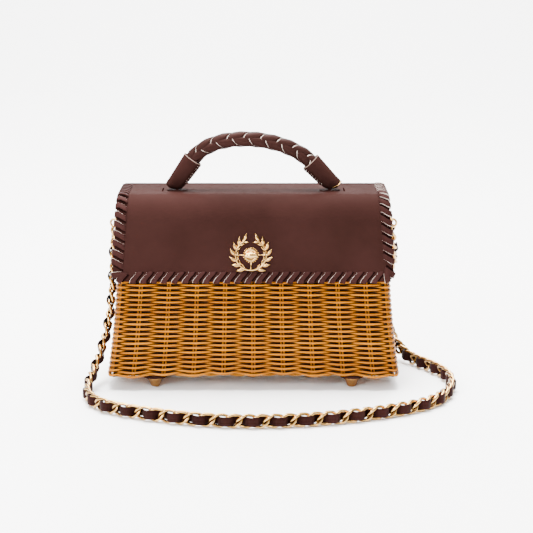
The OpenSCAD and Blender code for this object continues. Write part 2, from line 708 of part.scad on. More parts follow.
// Handle sleeves: tapered tubes slotted over the eyes, with a pocket for the grip,
// cut off below so that they clear the flap as the handle swings
sleeve_pocket = 8;
tail_bevel = 1.5;
swing_steps = 12;
module sleeve_tube() {
  pocket_r = grip_r + soft_gap;
  rotate_extrude() polygon([
    [0, -sleeve_tail], [sleeve_end_r - tail_bevel, -sleeve_tail], [sleeve_end_r, tail_bevel - sleeve_tail],
    [sleeve_end_r, 0], [sleeve_rim_r, sleeve_len], [pocket_r, sleeve_len],
    [pocket_r, sleeve_len - sleeve_pocket], [0, sleeve_len - sleeve_pocket]]);
}
module sleeve_swing() {
  top = 2 * sleeve_len;
  rotate([90, 0, 90]) linear_extrude(4 * sleeve_len, center = true) polygon(concat(
    [for (i = [0:swing_steps]) let (angle = 180 + 180 * i / swing_steps)
      sleeve_swing_r * [cos(angle), sin(angle)]],
    [[sleeve_len, top], [-sleeve_len, top]]));
}
eye_slot_gap = 0.4;
slot_rise = 3;
pin_len = 12;
pin_head_r = 2.2;
pin_head_t = 1.2;
function sleeve_lean(side) = side < 0 ? 90 - sleeve_angle_left : sleeve_angle_right - 90;
function sleeve_dir(side) = [sin(sleeve_lean(side)), 0, cos(sleeve_lean(side))];
function pivot_at(side) = [side * handle_span / 2, 0, pivot_z];
function rim_at(side) = pivot_at(side) + sleeve_len * sleeve_dir(side);
module handle_sleeve(side) {
  slot_w = eye_t + 2 * eye_slot_gap;
  slot_r = eye_r + eye_slot_gap;
  color(leather_tone) translate(pivot_at(side)) difference() {
    intersection() {
      rotate([0, sleeve_lean(side), 0]) sleeve_tube();
      sleeve_swing();
    }
    translate([-slot_w / 2, -2 * sleeve_end_r, -2 * sleeve_end_r])
      cube([slot_w, 4 * sleeve_end_r, 2 * sleeve_end_r + slot_rise]);
    rotate([0, 90, 0]) cylinder(h = slot_w, r = slot_r, center = true);
    rotate([0, 90, 0]) cylinder(h = pin_len, r = pin_r, center = true);
    translate([side * pin_len / 2, 0, 0]) rotate([0, side * 90, 0])
      cylinder(h = 2 * sleeve_end_r, r = pin_head_r);
  }
}
module handle_pin(side) {
  color(gold_tone) translate(pivot_at(side)) {
    rotate([0, 90, 0]) cylinder(h = pin_len, r = pin_r, center = true);
    translate([side * pin_len / 2, 0, 0]) rotate([0, side * 90, 0]) cylinder(h = pin_head_t, r = pin_head_r);
  }
}

// Braided grip: four strands round a curve from one sleeve to the other
grip_in = sleeve_pocket - 1;
grip_steps = 64;
grip_sides = 16;
grip_ends = [rim_at(-1), rim_at(1)];
grip_arms = [grip_ends[0] + grip_reach * sleeve_dir(-1), grip_ends[1] + grip_reach * sleeve_dir(1)];
function grip_bend(t) = pow(1 - t, 3) * grip_ends[0] + 3 * t * pow(1 - t, 2) * grip_arms[0]
  + 3 * t * t * (1 - t) * grip_arms[1] + pow(t, 3) * grip_ends[1];
grip_path = concat(
  [grip_ends[0] - grip_in * sleeve_dir(-1), grip_ends[0] - grip_in / 2 * sleeve_dir(-1)],
  [for (i = [0:grip_steps]) grip_bend(i / grip_steps)],
  [grip_ends[1] - grip_in / 2 * sleeve_dir(1), grip_ends[1] - grip_in * sleeve_dir(1)]);
grip_lengths = [for (i = 0, s = 0; i < len(grip_path);
  s = s + (i + 1 < len(grip_path) ? norm(grip_path[i + 1] - grip_path[i]) : 0), i = i + 1) s];
// Height of the braid at a turn round the grip and a run along it: strands that lean one way
// lie outside in every other quarter, and strands that lean the other way in between
function crown(x) = 1 - pow(2 * (x - floor(x)) - 1, 4);
function braid_r(angle, run) = let (
    u = 2 * (angle / 360 + run / braid_turn), v = 2 * (angle / 360 - run / braid_turn),
    over = floor(angle / 90) % 2 == 0)
  grip_r - braid_groove * (1 - crown(over ? u : v));
function grip_ring(i) = let (
    n = len(grip_path) - 1,
    t = unit(grip_path[min(i + 1, n)] - grip_path[max(i - 1, 0)]),
    up = [-t[2], 0, t[0]])
  [for (k = [0:grip_sides - 1]) let (angle = 360 * k / grip_sides)
    grip_path[i] + braid_r(angle, grip_lengths[i]) * (cos(angle) * up + sin(angle) * [0, 1, 0])];
module handle_grip() {
  color(leather_tone) ring_strip([for (i = [0:len(grip_path) - 1]) grip_ring(i)]);
}

basket();
lining();
back_panel();
strike_plate();
foot_pad(-1, -1);  // foot_pad_front_left
foot_pad(1, -1);  // foot_pad_front_right
foot_pad(-1, 1);  // foot_pad_back_left
foot_pad(1, 1);  // foot_pad_back_right
foot(-1, -1);  // foot_front_left
foot(1, -1);  // foot_front_right
foot(-1, 1);  // foot_back_left
foot(1, 1);  // foot_back_right
anchor_tab(-1);  // anchor_tab_left
anchor_tab(1);  // anchor_tab_right
anchor_ring(-1);  // anchor_ring_left
anchor_ring(1);  // anchor_ring_right
strap_ring(-1);  // strap_ring_left
strap_ring(1);  // strap_ring_right
strap_chain();
strap_lace();
flap();
flap_lacing();
clasp_wreath();
clasp_backplate();
handle_mount(-1);  // handle_mount_left
handle_mount(1);  // handle_mount_right
handle_washer(-1);  // handle_washer_left
handle_washer(1);  // handle_washer_right
handle_grip();
handle_sleeve(-1);  // handle_sleeve_left
handle_sleeve(1);  // handle_sleeve_right
handle_pin(-1);  // handle_pin_left
handle_pin(1);  // handle_pin_right
turn_knob();
latch_cam();
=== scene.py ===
"""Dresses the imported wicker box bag: weave, leather, lacing, braid, clasp and chain strap.

Shapes are worked out in millimetres, as in the part's source, and become pieces in metres.
"""

import json
import logging
import math
from bisect import bisect_right
from dataclasses import dataclass, field
from enum import Enum
from typing import Any, Callable, Sequence

import bmesh
import bpy
from mathutils import Matrix, Vector

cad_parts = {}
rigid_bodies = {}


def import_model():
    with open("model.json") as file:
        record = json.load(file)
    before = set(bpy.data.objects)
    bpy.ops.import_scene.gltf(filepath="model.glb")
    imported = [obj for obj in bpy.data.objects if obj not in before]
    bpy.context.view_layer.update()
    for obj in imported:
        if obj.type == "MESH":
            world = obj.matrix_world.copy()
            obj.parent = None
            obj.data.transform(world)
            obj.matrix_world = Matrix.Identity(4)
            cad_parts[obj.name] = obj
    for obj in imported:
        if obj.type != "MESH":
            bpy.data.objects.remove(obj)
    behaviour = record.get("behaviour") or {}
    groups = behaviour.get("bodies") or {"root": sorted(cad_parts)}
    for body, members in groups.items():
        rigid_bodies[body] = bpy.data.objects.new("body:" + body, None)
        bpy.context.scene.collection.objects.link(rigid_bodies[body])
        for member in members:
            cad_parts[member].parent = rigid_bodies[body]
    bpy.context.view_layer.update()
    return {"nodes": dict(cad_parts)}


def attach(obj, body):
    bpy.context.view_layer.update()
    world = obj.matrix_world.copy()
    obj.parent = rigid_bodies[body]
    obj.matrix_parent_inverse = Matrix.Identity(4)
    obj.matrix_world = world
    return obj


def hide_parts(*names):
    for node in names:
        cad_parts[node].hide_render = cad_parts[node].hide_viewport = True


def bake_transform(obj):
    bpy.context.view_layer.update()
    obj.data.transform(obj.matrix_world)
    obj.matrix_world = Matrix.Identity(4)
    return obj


LOG = logging.getLogger("basket_bag")
MM = 0.001
WELD = 1e-4
TUBE_WELD = 1e-5
BACK = Vector((0, 1, 0))
Colour = tuple[float, float, float, float]
Point = tuple[float, float, float]
Place = Callable[[float, float], Vector]
Shape = bmesh.types.BMesh
Piece = bpy.types.Object
Socket = bpy.types.NodeSocket


class Body(Enum):
    """The moving bodies of the bag."""

    BASKET = "basket_body"
    LID = "lid"
    HANDLE = "handle"
    KNOB = "knob"


class Slot(Enum):
    """The record's material slots."""

    WICKER = "wicker"
    LEATHER = "leather"
    LINING = "lining"
    GILT = "gilt"


class Side(Enum):
    """The two ends of the bag, seen from the front."""

    LEFT = -1
    RIGHT = 1


# Shared helpers


def mix(a: Any, b: Any, t: float) -> Any:
    """Returns the value a share t of the way from a to b."""
    return a + (b - a) * t


def clamp(value: float, low: float = 0.0, high: float = 1.0) -> float:
    """Returns value held between low and high."""
    return max(low, min(high, value))


def swung(turn: float, a: Vector, b: Vector) -> Vector:
    """Returns the direction at a turn from a towards b."""
    return math.cos(turn) * a + math.sin(turn) * b


def leg_of(count: int, u: float) -> tuple[int, float]:
    """Returns which of count equal legs u falls on, and the share of that leg before it."""
    k = min(int(u * count), count - 1)
    return k, u * count - k


def new_bmesh() -> Shape:
    """Returns an empty bmesh with a UV layer."""
    bm = bmesh.new()
    bm.loops.layers.uv.new("UVMap")
    return bm


def weld(bm: Shape, verts: Sequence[bmesh.types.BMVert] | None = None, dist: float = WELD) -> None:
    """Joins corners that fall together, among those given or among all."""
    bmesh.ops.remove_doubles(bm, verts=verts or bm.verts, dist=dist)


def cap(bm: Shape) -> None:
    """Closes every open end with a face."""
    bmesh.ops.holes_fill(bm, edges=[e for e in bm.edges if e.is_boundary], sides=0)


def face_up(bm: Shape) -> None:
    """Turns a sheet over where its highest face looks down.

    Args:
        bm: The sheet.
    """
    bm.normal_update()
    top = max(bm.faces, key=lambda f: f.calc_center_median().z)
    if top.normal.z < 0:
        bmesh.ops.reverse_faces(bm, faces=bm.faces)


def form_grid(bm: Shape, steps_u: int, steps_v: int, place: Place, layer: Any = None,
              share: Callable[[float, float], float] | None = None) -> list[bmesh.types.BMVert]:
    """Adds a grid and moves each of its corners to its place.

    Args:
        bm: The bmesh that takes the grid.
        steps_u: Faces along u, the grid's length.
        steps_v: Faces along v, the grid's width.
        place: Gives the corner's point from u and v, both from 0 to 1.
        layer: A float layer of the corners to fill, if any.
        share: Gives the layer's value from u and v.

    Returns:
        The grid's corners.
    """
    made = bmesh.ops.create_grid(bm, x_segments=steps_u, y_segments=steps_v, size=0.5, calc_uvs=True)
    for vert in made["verts"]:
        u, v = vert.co.x + 0.5, vert.co.y + 0.5
        vert.co = place(u, v)
        if layer and share:
            vert[layer] = share(u, v)
    return made["verts"]


def form_tube(bm: Shape, steps_u: int, sides: int, place: Place, capped: bool = True) -> None:
    """Adds a tube: a grid whose v runs once round the section.

    Args:
        bm: The bmesh that takes the tube.
        steps_u: Faces along the tube.
        sides: Faces round the tube.
        place: Gives the tube's points from u along it and v round it.
        capped: Whether open ends are closed with a face.
    """
    weld(bm, form_grid(bm, steps_u, sides, place), TUBE_WELD)
    if capped:
        cap(bm)


def spin_profile(bm: Shape, profile: Sequence[tuple[float, float]], matrix: Matrix,
                 steps: int = 32) -> None:
    """Turns a profile of (radius, height) points round the local Z axis.

    Args:
        bm: The bmesh that takes the turned shape.
        profile: Points from one end to the other; a radius of 0 closes an end.
        matrix: Places the turned shape.
        steps: Faces round the shape.
    """
    part = new_bmesh()
    verts = [part.verts.new((r, 0.0, h)) for r, h in profile]
    edges = [part.edges.new(pair) for pair in zip(verts, verts[1:])]
    bmesh.ops.spin(part, geom=verts + edges, cent=(0, 0, 0), axis=(0, 0, 1), angle=math.tau,
                   steps=steps, use_merge=True, use_duplicate=False)
    weld(part)
    bmesh.ops.recalc_face_normals(part, faces=part.faces)
    bmesh.ops.transform(part, matrix=matrix, verts=part.verts)
    join(bm, part)


def join(bm: Shape, part: Shape) -> None:
    """Moves all of one bmesh into another.

    Args:
        bm: The bmesh that takes the part.
        part: The part, which is freed.
    """
    mesh = bpy.data.meshes.new("part")
    part.to_mesh(mesh)
    part.free()
    bm.from_mesh(mesh)
    bpy.data.meshes.remove(mesh)


def make_piece(bm: Shape, name: str, material: bpy.types.Material, body: Body | None, slot: Slot,
               replaces: Sequence[str] = (), sheet: bool = False) -> Piece:
    """Turns a bmesh in millimetres into a piece in metres that rides on a body.

    Args:
        bm: The shape, which is freed.
        name: The piece's name.
        material: Its material.
        body: The body that it rides on, or None for a piece that spans two and rides on neither.
        slot: The record's slot for its finish; not used.
        replaces: The CAD nodes that it stands for.
        sheet: Whether it is an open sheet, whose faces keep their side.

    Returns:
        The piece.
    """
    if not sheet:
        bmesh.ops.recalc_face_normals(bm, faces=bm.faces)
    bmesh.ops.scale(bm, vec=(MM, MM, MM), verts=bm.verts)
    mesh = bpy.data.meshes.new(name)
    bm.to_mesh(mesh)
    bm.free()
    mesh.shade_smooth()
    mesh.materials.append(material)
    piece = bpy.data.objects.new(name, mesh)
    bpy.context.scene.collection.objects.link(piece)
    if body:
        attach(piece, body.value)
    if replaces:
        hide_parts(*replaces)
    LOG.info("%s: %d faces on %s", name, len(mesh.polygons), body.value if body else "two bodies")
    return piece


def flat_section(v: float, half_w: float, half_t: float) -> tuple[float, float]:
    """Finds a point of a flat strip's rounded section.

    Args:
        v: The share of the way round the section; 0.5 is the low edge.
        half_w: Half the strip's width.
        half_t: Half its thickness.

    Returns:
        The distances across the strip and out of it.
    """
    across, out = math.cos(math.tau * v), math.sin(math.tau * v)
    edge_power, face_power = 0.4, 0.7
    return (half_w * math.copysign(abs(across) ** edge_power, across),
            half_t * math.copysign(abs(out) ** face_power, out))


class Track:
    """A line through points, measured by the run along it."""

    def __init__(self, points: Sequence[Vector]) -> None:
        """Measures the line."""
        self.points = points
        self.runs = [0.0]
        for a, b in zip(points, points[1:]):
            self.runs.append(self.runs[-1] + (b - a).length)
        self.length = self.runs[-1]

    def at(self, run: float) -> tuple[Vector, Vector]:
        """Finds a point of the line.

        Args:
            run: The length along the line, held to its ends.

        Returns:
            The point and the line's direction there.
        """
        run = clamp(run, 0.0, self.length)
        k = min(bisect_right(self.runs, run), len(self.runs) - 1) - 1
        a, b = self.points[k], self.points[k + 1]
        return a.lerp(b, (run - self.runs[k]) / (self.runs[k + 1] - self.runs[k])), (b - a).normalized()


# The bag's plan


@dataclass(frozen=True)
class BagPlan:
    """The bag's main sizes in millimetres, shared by its pieces."""

    basket_w: float = 260.0
    basket_d: float = 114.0
    basket_z: float = 12.0
    side_lean: float = math.radians(4.0)
    front_lean: float = math.radians(7.6)
    corner_r: float = 10.0
    relief: float = 1.2
    lacing_room: float = 1.8
    rim_gap: float = 0.5
    front_rim_z: float = 116.0
    lid_top_z: float = 175.0
    flap_t: float = 3.0
    shoulder_r: float = 25.0
    flap_edge_z: float = 100.0
    flap_corner_r: float = 9.0
    overhang: float = 2.0
    hinge_y: float = 38.3514
    hinge_z: float = 173.5
    clasp: Vector = field(default_factory=lambda: Vector((-2.0, -48.1092, 124.0)))

    def half_w(self, z: float) -> float:
        """Returns half the basket's width at a height."""
        return self.basket_w / 2 - (z - self.basket_z) * math.tan(self.side_lean)

    def half_d(self, z: float) -> float:
        """Returns half the basket's depth at a height."""
        return self.basket_d / 2 - (z - self.basket_z) * math.tan(self.front_lean)

    def flap_front_y(self, z: float) -> float:
        """Returns the flap's outer front face at a height."""
        thick = self.relief + self.lacing_room + self.flap_t
        return -self.half_d(z) - thick / math.cos(self.front_lean)

    def flap_half_w(self, z: float) -> float:
        """Returns half the flap's width at a height."""
        return self.half_w(z) + self.relief + self.overhang

    @property
    def rim_top(self) -> float:
        """Returns the height of the basket's rim under the flat lid."""
        return self.lid_top_z - self.flap_t - self.lacing_room - self.rim_gap

    @property
    def shoulder_z(self) -> float:
        """Returns the height of the shoulder's centre."""
        return self.lid_top_z - self.shoulder_r

    @property
    def shoulder_end_z(self) -> float:
        """Returns the height where the shoulder meets the flat front."""
        return self.shoulder_z + self.shoulder_r * math.sin(self.front_lean)

    @property
    def shoulder_y(self) -> float:
        """Returns the place of the shoulder's centre from front to back."""
        return self.flap_front_y(self.shoulder_end_z) + self.shoulder_r * math.cos(self.front_lean)

    @property
    def top_run(self) -> float:
        """Returns the length of the flap's flat top."""
        return self.hinge_y - self.shoulder_y

    @property
    def shoulder_run(self) -> float:
        """Returns the length of the flap's shoulder."""
        return self.shoulder_r * (math.pi / 2 - self.front_lean)

    @property
    def end_run(self) -> float:
        """Returns the length of the flap from its hinge to its lower edge."""
        front = (self.shoulder_end_z - self.flap_edge_z) / math.cos(self.front_lean)
        return self.top_run + self.shoulder_run + front

    def profile(self, run: float) -> tuple[float, float, float]:
        """Finds a point of the flap's outer face, seen from the end.

        Args:
            run: The length over the flap from its hinge.

        Returns:
            The point's y and z, and the turn of the face there from level.
        """
        if run < self.top_run:
            return self.hinge_y - run, self.lid_top_z, 0.0
        if run < self.top_run + self.shoulder_run:
            turn = (run - self.top_run) / self.shoulder_r
            return (self.shoulder_y - self.shoulder_r * math.sin(turn),
                    self.shoulder_z + self.shoulder_r * math.cos(turn), turn)
        left = run - self.top_run - self.shoulder_run
        return (self.flap_front_y(self.shoulder_end_z) - left * math.sin(self.front_lean),
                self.shoulder_end_z - left * math.cos(self.front_lean), math.pi / 2 - self.front_lean)

    @property
    def front_out(self) -> Vector:
        """Returns the direction out of the flap's front."""
        return Vector((0, -math.cos(self.front_lean), math.sin(self.front_lean)))

    @property
    def front_up(self) -> Vector:
        """Returns the direction up the flap's front."""
        return Vector((0, math.sin(self.front_lean), math.cos(self.front_lean)))

    def clasp_matrix(self) -> Matrix:
        """Returns the clasp's frame: X across, Y up the front, Z out of it."""
        x, y, z = Vector((1, 0, 0)), self.front_up, self.front_out
        return Matrix.Translation(self.clasp) @ Matrix((x, y, z)).transposed().to_4x4()


# Materials


class Net:
    """Adds and joins the nodes of one material, node group or world."""

    def __init__(self, tree: bpy.types.NodeTree) -> None:
        """Starts on an empty tree."""
        self.tree = tree
        tree.nodes.clear()

    def node(self, kind: str, inputs: dict[Any, Any] | None = None, **settings: Any) -> bpy.types.Node:
        """Adds a node, sets it and fills its inputs.

        Args:
            kind: The node's type.
            inputs: Values or sockets by input name or number.
            **settings: The node's own settings.

        Returns:
            The node.
        """
        made = self.tree.nodes.new(kind)
        for key, value in settings.items():
            setattr(made, key, value)
        for key, value in (inputs or {}).items():
            if isinstance(value, Socket):
                self.tree.links.new(value, made.inputs[key])
            else:
                made.inputs[key].default_value = value
        return made

    def math(self, operation: str, a: Any, b: Any = 0.0) -> Socket:
        """Returns the output of a Math node on a and b."""
        return self.node("ShaderNodeMath", {0: a, 1: b}, operation=operation).outputs[0]

    def remap(self, value: Any, low: float, high: float, to_low: float = 0.0,
              to_high: float = 1.0) -> Socket:
        """Returns value moved smoothly from one range to another."""
        return self.node("ShaderNodeMapRange", {0: value, 1: low, 2: high, 3: to_low, 4: to_high},
                         interpolation_type="SMOOTHSTEP").outputs[0]

    def blend(self, factor: Any, a: Any, b: Any) -> Socket:
        """Mixes two colours.

        Args:
            factor: The share of the second colour.
            a: The first colour.
            b: The second colour.

        Returns:
            The colour between them.
        """
        made = self.node("ShaderNodeMix", data_type="RGBA")
        for key, kind, value in (("Factor", "VALUE", factor), ("A", "RGBA", a), ("B", "RGBA", b)):
            socket = next(s for s in made.inputs if s.name == key and s.type == kind)
            if isinstance(value, Socket):
                self.tree.links.new(value, socket)
            else:
                socket.default_value = value
        return next(s for s in made.outputs if s.type == "RGBA")

    def noise(self, vector: Socket, scale: Any, detail: float, rough: float = 0.5) -> Socket:
        """Returns the value of a noise texture."""
        inputs = {"Vector": vector, "Scale": scale, "Detail": detail, "Roughness": rough}
        return self.node("ShaderNodeTexNoise", inputs).outputs[0]

    def stretch(self, vector: Socket, scale: Point) -> Socket:
        """Returns a vector with each of its axes scaled."""
        return self.node("ShaderNodeMapping", {"Vector": vector, "Scale": scale}).outputs[0]

    def bump(self, strength: float, distance: float, height: Socket) -> Socket:
        """Returns the normal of a surface that has a height."""
        inputs = {"Strength": strength, "Distance": distance, "Height": height}
        return self.node("ShaderNodeBump", inputs).outputs[0]


class MaterialNet(Net):
    """The nodes of one material, with the coordinates that it reads."""

    def __init__(self, name: str) -> None:
        """Starts the material."""
        self.material = bpy.data.materials.new(name)
        self.material.use_nodes = True
        super().__init__(self.material.node_tree)
        coords = self.node("ShaderNodeTexCoord")
        self.point = coords.outputs["Object"]
        self.uv = coords.outputs["UV"]

    def around(self) -> Socket:
        """Returns v of the UV map, which runs round a strip's or a wire's section."""
        return self.node("ShaderNodeSeparateXYZ", {0: self.uv}).outputs["Y"]

    def group(self, tree: bpy.types.NodeTree, inputs: dict[str, Any]) -> bpy.types.NodeOutputs:
        """Places a node group and returns its outputs."""
        return self.node("ShaderNodeGroup", inputs, node_tree=tree).outputs

    def dress(self, inputs: dict[str, Any]) -> bpy.types.Material:
        """Ends the material with a shader that has these inputs, and returns it."""
        shader = self.node("ShaderNodeBsdfPrincipled", inputs)
        self.node("ShaderNodeOutputMaterial", {"Surface": shader.outputs[0]})
        return self.material


def node_group(name: str, inputs: dict[str, str],
               outputs: Sequence[str]) -> tuple[bpy.types.NodeTree, Net, bpy.types.NodeOutputs]:
    """Starts a shader node group.

    Args:
        name: The group's name.
        inputs: Socket types by input name.
        outputs: The names of its outputs, which are all values.

    Returns:
        The group, its net and the sockets that it is given.
    """
    group = bpy.data.node_groups.new(name, "ShaderNodeTree")
    for key, kind in inputs.items():
        group.interface.new_socket(key, in_out="INPUT", socket_type=kind)
    for key in outputs:
        group.interface.new_socket(key, in_out="OUTPUT", socket_type="NodeSocketFloat")
    net = Net(group)
    return group, net, net.node("NodeGroupInput").outputs


class Effects:
    """The node groups that several finishes share."""

    def __init__(self) -> None:
        """Builds each group once."""
        self.grain = self._grain()
        self.cut_edge = self._cut_edge()
        self.patina = self._patina()

    @staticmethod
    def _grain() -> bpy.types.NodeTree:
        """Returns fine leather grain: a height, a slow tone and a rubbed mask."""
        inputs = {"Vector": "NodeSocketVector", "Scale": "NodeSocketFloat"}
        group, net, given = node_group("Leather grain", inputs, ("Height", "Tone", "Rub"))
        vector, scale = given["Vector"], given["Scale"]
        pebble = net.node("ShaderNodeTexVoronoi", {"Vector": vector, "Scale": scale}, feature="SMOOTH_F1")
        fine = net.noise(vector, net.math("MULTIPLY", scale, 2.4), 4.0)
        slow = net.noise(vector, 17.0, 3.0)
        rub = net.noise(vector, 140.0, 5.0, 0.7)
        height = net.math("ADD", net.math("MULTIPLY", pebble.outputs["Distance"], 0.6),
                          net.math("MULTIPLY", fine, 0.5))
        net.node("NodeGroupOutput", {"Height": height, "Tone": net.remap(slow, 0.3, 0.7),
                                     "Rub": net.remap(rub, 0.45, 0.75)})
        return group

    @staticmethod
    def _cut_edge() -> bpy.types.NodeTree:
        """Returns a mask of a strip's low cut edge, from v round its section."""
        inputs = {"V": "NodeSocketFloat", "Width": "NodeSocketFloat"}
        group, net, given = node_group("Cut edge", inputs, ("Mask",))
        off = net.math("ABSOLUTE", net.math("SUBTRACT", given["V"], 0.5))
        net.node("NodeGroupOutput", {"Mask": net.math("LESS_THAN", off, given["Width"])})
        return group

    @staticmethod
    def _patina() -> bpy.types.NodeTree:
        """Returns fine scratches and a slow tone for polished metal."""
        group, net, given = node_group("Metal patina", {"Vector": "NodeSocketVector"}, ("Tone", "Scratch"))
        slow = net.noise(given["Vector"], 220.0, 3.0)
        scratch = net.noise(net.stretch(given["Vector"], (900.0, 900.0, 5200.0)), 1.0, 4.0)
        net.node("NodeGroupOutput", {"Tone": net.remap(slow, 0.35, 0.65), "Scratch": scratch})
        return group


@dataclass(frozen=True)
class LeatherFinish:
    """Smooth waxed leather, with a pale cut edge where a strip has one."""

    name: str
    dark: Colour = (0.0173, 0.0067, 0.0055, 1.0)
    light: Colour = (0.0224, 0.0087, 0.0073, 1.0)
    pale: Colour = (0.42, 0.33, 0.28, 1.0)
    rough: float = 0.50
    rubbed: float = 0.10
    shine: float = 0.003
    sheen: Colour = (1.0, 0.60, 0.52, 1.0)
    grain_scale: float = 1500.0
    grain_depth: float = 0.0004
    bump: float = 0.10
    edge_width: float = 0.0

    def material(self, effects: Effects) -> bpy.types.Material:
        """Makes the finish's material.

        Args:
            effects: The shared node groups.

        Returns:
            The material.
        """
        net = MaterialNet(self.name)
        grain = net.group(effects.grain, {"Vector": net.point, "Scale": self.grain_scale})
        colour = net.blend(grain["Tone"], self.dark, self.light)
        if self.edge_width > 0:
            edge = net.group(effects.cut_edge, {"V": net.around(), "Width": self.edge_width})
            colour = net.blend(edge["Mask"], colour, self.pale)
        rough = net.remap(grain["Rub"], 0.0, 1.0, self.rough, self.rough + self.rubbed)
        return net.dress({"Base Color": colour, "Roughness": rough,
                          "Normal": net.bump(self.bump, self.grain_depth, grain["Height"]),
                          "Specular IOR Level": self.shine, "Specular Tint": self.sheen})


@dataclass(frozen=True)
class GiltFinish:
    """Polished pale gilt or brass, with painted shade in its recesses where it has them."""

    name: str
    base: Colour = (0.60, 0.37, 0.13, 1.0)
    shade: Colour = (0.34, 0.18, 0.05, 1.0)
    # The colour of the painted shade and dark reflection in the recesses.
    recess_shade: Colour = (0.055, 0.022, 0.006, 1.0)
    uneven: float = 0.45
    rough: float = 0.15
    scratched: float = 0.12
    scratch_bump: float = 0.04
    scratch_depth: float = 0.0002
    # How much painted shade the recesses take.
    recess: float = 0.0

    def material(self, effects: Effects) -> bpy.types.Material:
        """Makes the finish's material.

        Args:
            effects: The shared node groups.

        Returns:
            The material.
        """
        net = MaterialNet(self.name)
        patina = net.group(effects.patina, {"Vector": net.point})
        colour = net.blend(net.math("MULTIPLY", patina["Tone"], self.uneven), self.base, self.shade)
        # Painted shade in the recesses: darkest where v round the section is near 0.5, as on the inner side
        # of a link's wire and one side of each leaf.
        if self.recess > 0:
            off = net.math("ABSOLUTE", net.math("SUBTRACT", net.around(), 0.5))
            colour = net.blend(net.remap(off, 0.10, 0.30, self.recess, 0.0), colour, self.recess_shade)
        rough = net.remap(patina["Scratch"], 0.3, 0.7, self.rough, self.rough + self.scratched)
        return net.dress({"Base Color": colour, "Metallic": 1.0, "Roughness": rough,
                          "Normal": net.bump(self.scratch_bump, self.scratch_depth, patina["Scratch"])})


@dataclass(frozen=True)
class WickerFinish:
    """Varnished honey rattan with lengthwise fibres."""

    name: str
    honey: Colour = (0.268, 0.074, 0.0008, 1.0)
    straw: Colour = (0.425, 0.140, 0.0020, 1.0)
    toast: Colour = (0.100, 0.024, 0.0008, 1.0)
    # The colour of the painted shade.
    shade: Colour = (0.0105, 0.0034, 0.0014, 1.0)
    varnish: Colour = (1.0, 0.70, 0.36, 1.0)
    shine: float = 0.16
    rough: float = 0.36
    worn: float = 0.16
    fibre_u: float = 260.0
    fibre_v: float = 9.0
    fibre_bump: float = 0.25
    fibre_depth: float = 0.0003

    def material(self) -> bpy.types.Material:
        """Returns the finish as a material, with painted shade on sunk rods and on the rods' inner and
        under sides, as the piece's shade attribute gives it.
        """
        net = MaterialNet(self.name)
        fibre = net.noise(net.stretch(net.uv, (self.fibre_u, self.fibre_v, 1.0)), 1.0, 5.0, 0.6)
        row = net.noise(net.stretch(net.point, (9.0, 9.0, 420.0)), 1.0, 2.0)
        spot = net.noise(net.point, 90.0, 4.0)
        # How much painted shade each corner takes, from the piece's attribute.
        depth = net.node("ShaderNodeAttribute", attribute_name="Depth").outputs["Fac"]
        colour = net.blend(net.remap(row, 0.32, 0.68), self.honey, self.straw)
        colour = net.blend(net.remap(fibre, 0.52, 0.80, 0.0, 0.55), colour, self.toast)
        colour = net.blend(net.remap(spot, 0.60, 0.80, 0.0, 0.45), colour, self.toast)
        # Painted shade: sunk rods and the rods' inner and under sides go dark.
        colour = net.blend(net.remap(depth, 0.03, 0.72, 0.0, 0.94), colour, self.shade)
        return net.dress({"Base Color": colour,
                          "Roughness": net.remap(fibre, 0.3, 0.7, self.rough, self.rough + self.worn),
                          "Normal": net.bump(self.fibre_bump, self.fibre_depth, fibre),
                          "Specular IOR Level": self.shine, "Specular Tint": self.varnish})


@dataclass(frozen=True)
class LiningFinish:
    """Dark cotton lining with a plain weave."""

    name: str
    warp: Colour = (0.008, 0.0036, 0.0020, 1.0)
    weft: Colour = (0.014, 0.0066, 0.0040, 1.0)
    gap: Colour = (0.004, 0.002, 0.0012, 1.0)
    nap: Colour = (0.50, 0.34, 0.26, 1.0)
    fuzz: float = 0.03
    shine: float = 0.05
    rough: float = 0.85
    thread_scale: float = 900.0
    thread_bump: float = 0.3
    thread_depth: float = 0.0003

    def material(self) -> bpy.types.Material:
        """Returns the finish as a material."""
        net = MaterialNet(self.name)
        threads = {"Vector": net.point, "Color1": self.warp, "Color2": self.weft, "Mortar": self.gap,
                   "Scale": self.thread_scale, "Mortar Size": 0.03}
        weave = net.node("ShaderNodeTexBrick", threads).outputs
        cloud = net.math("MULTIPLY", net.noise(net.point, 24.0, 4.0), 0.5)
        colour = net.blend(cloud, weave["Color"], self.warp)
        return net.dress({"Base Color": colour, "Roughness": self.rough,
                          "Normal": net.bump(self.thread_bump, self.thread_depth, weave["Fac"]),
                          "Sheen Weight": self.fuzz, "Sheen Tint": self.nap,
                          "Specular IOR Level": self.shine})


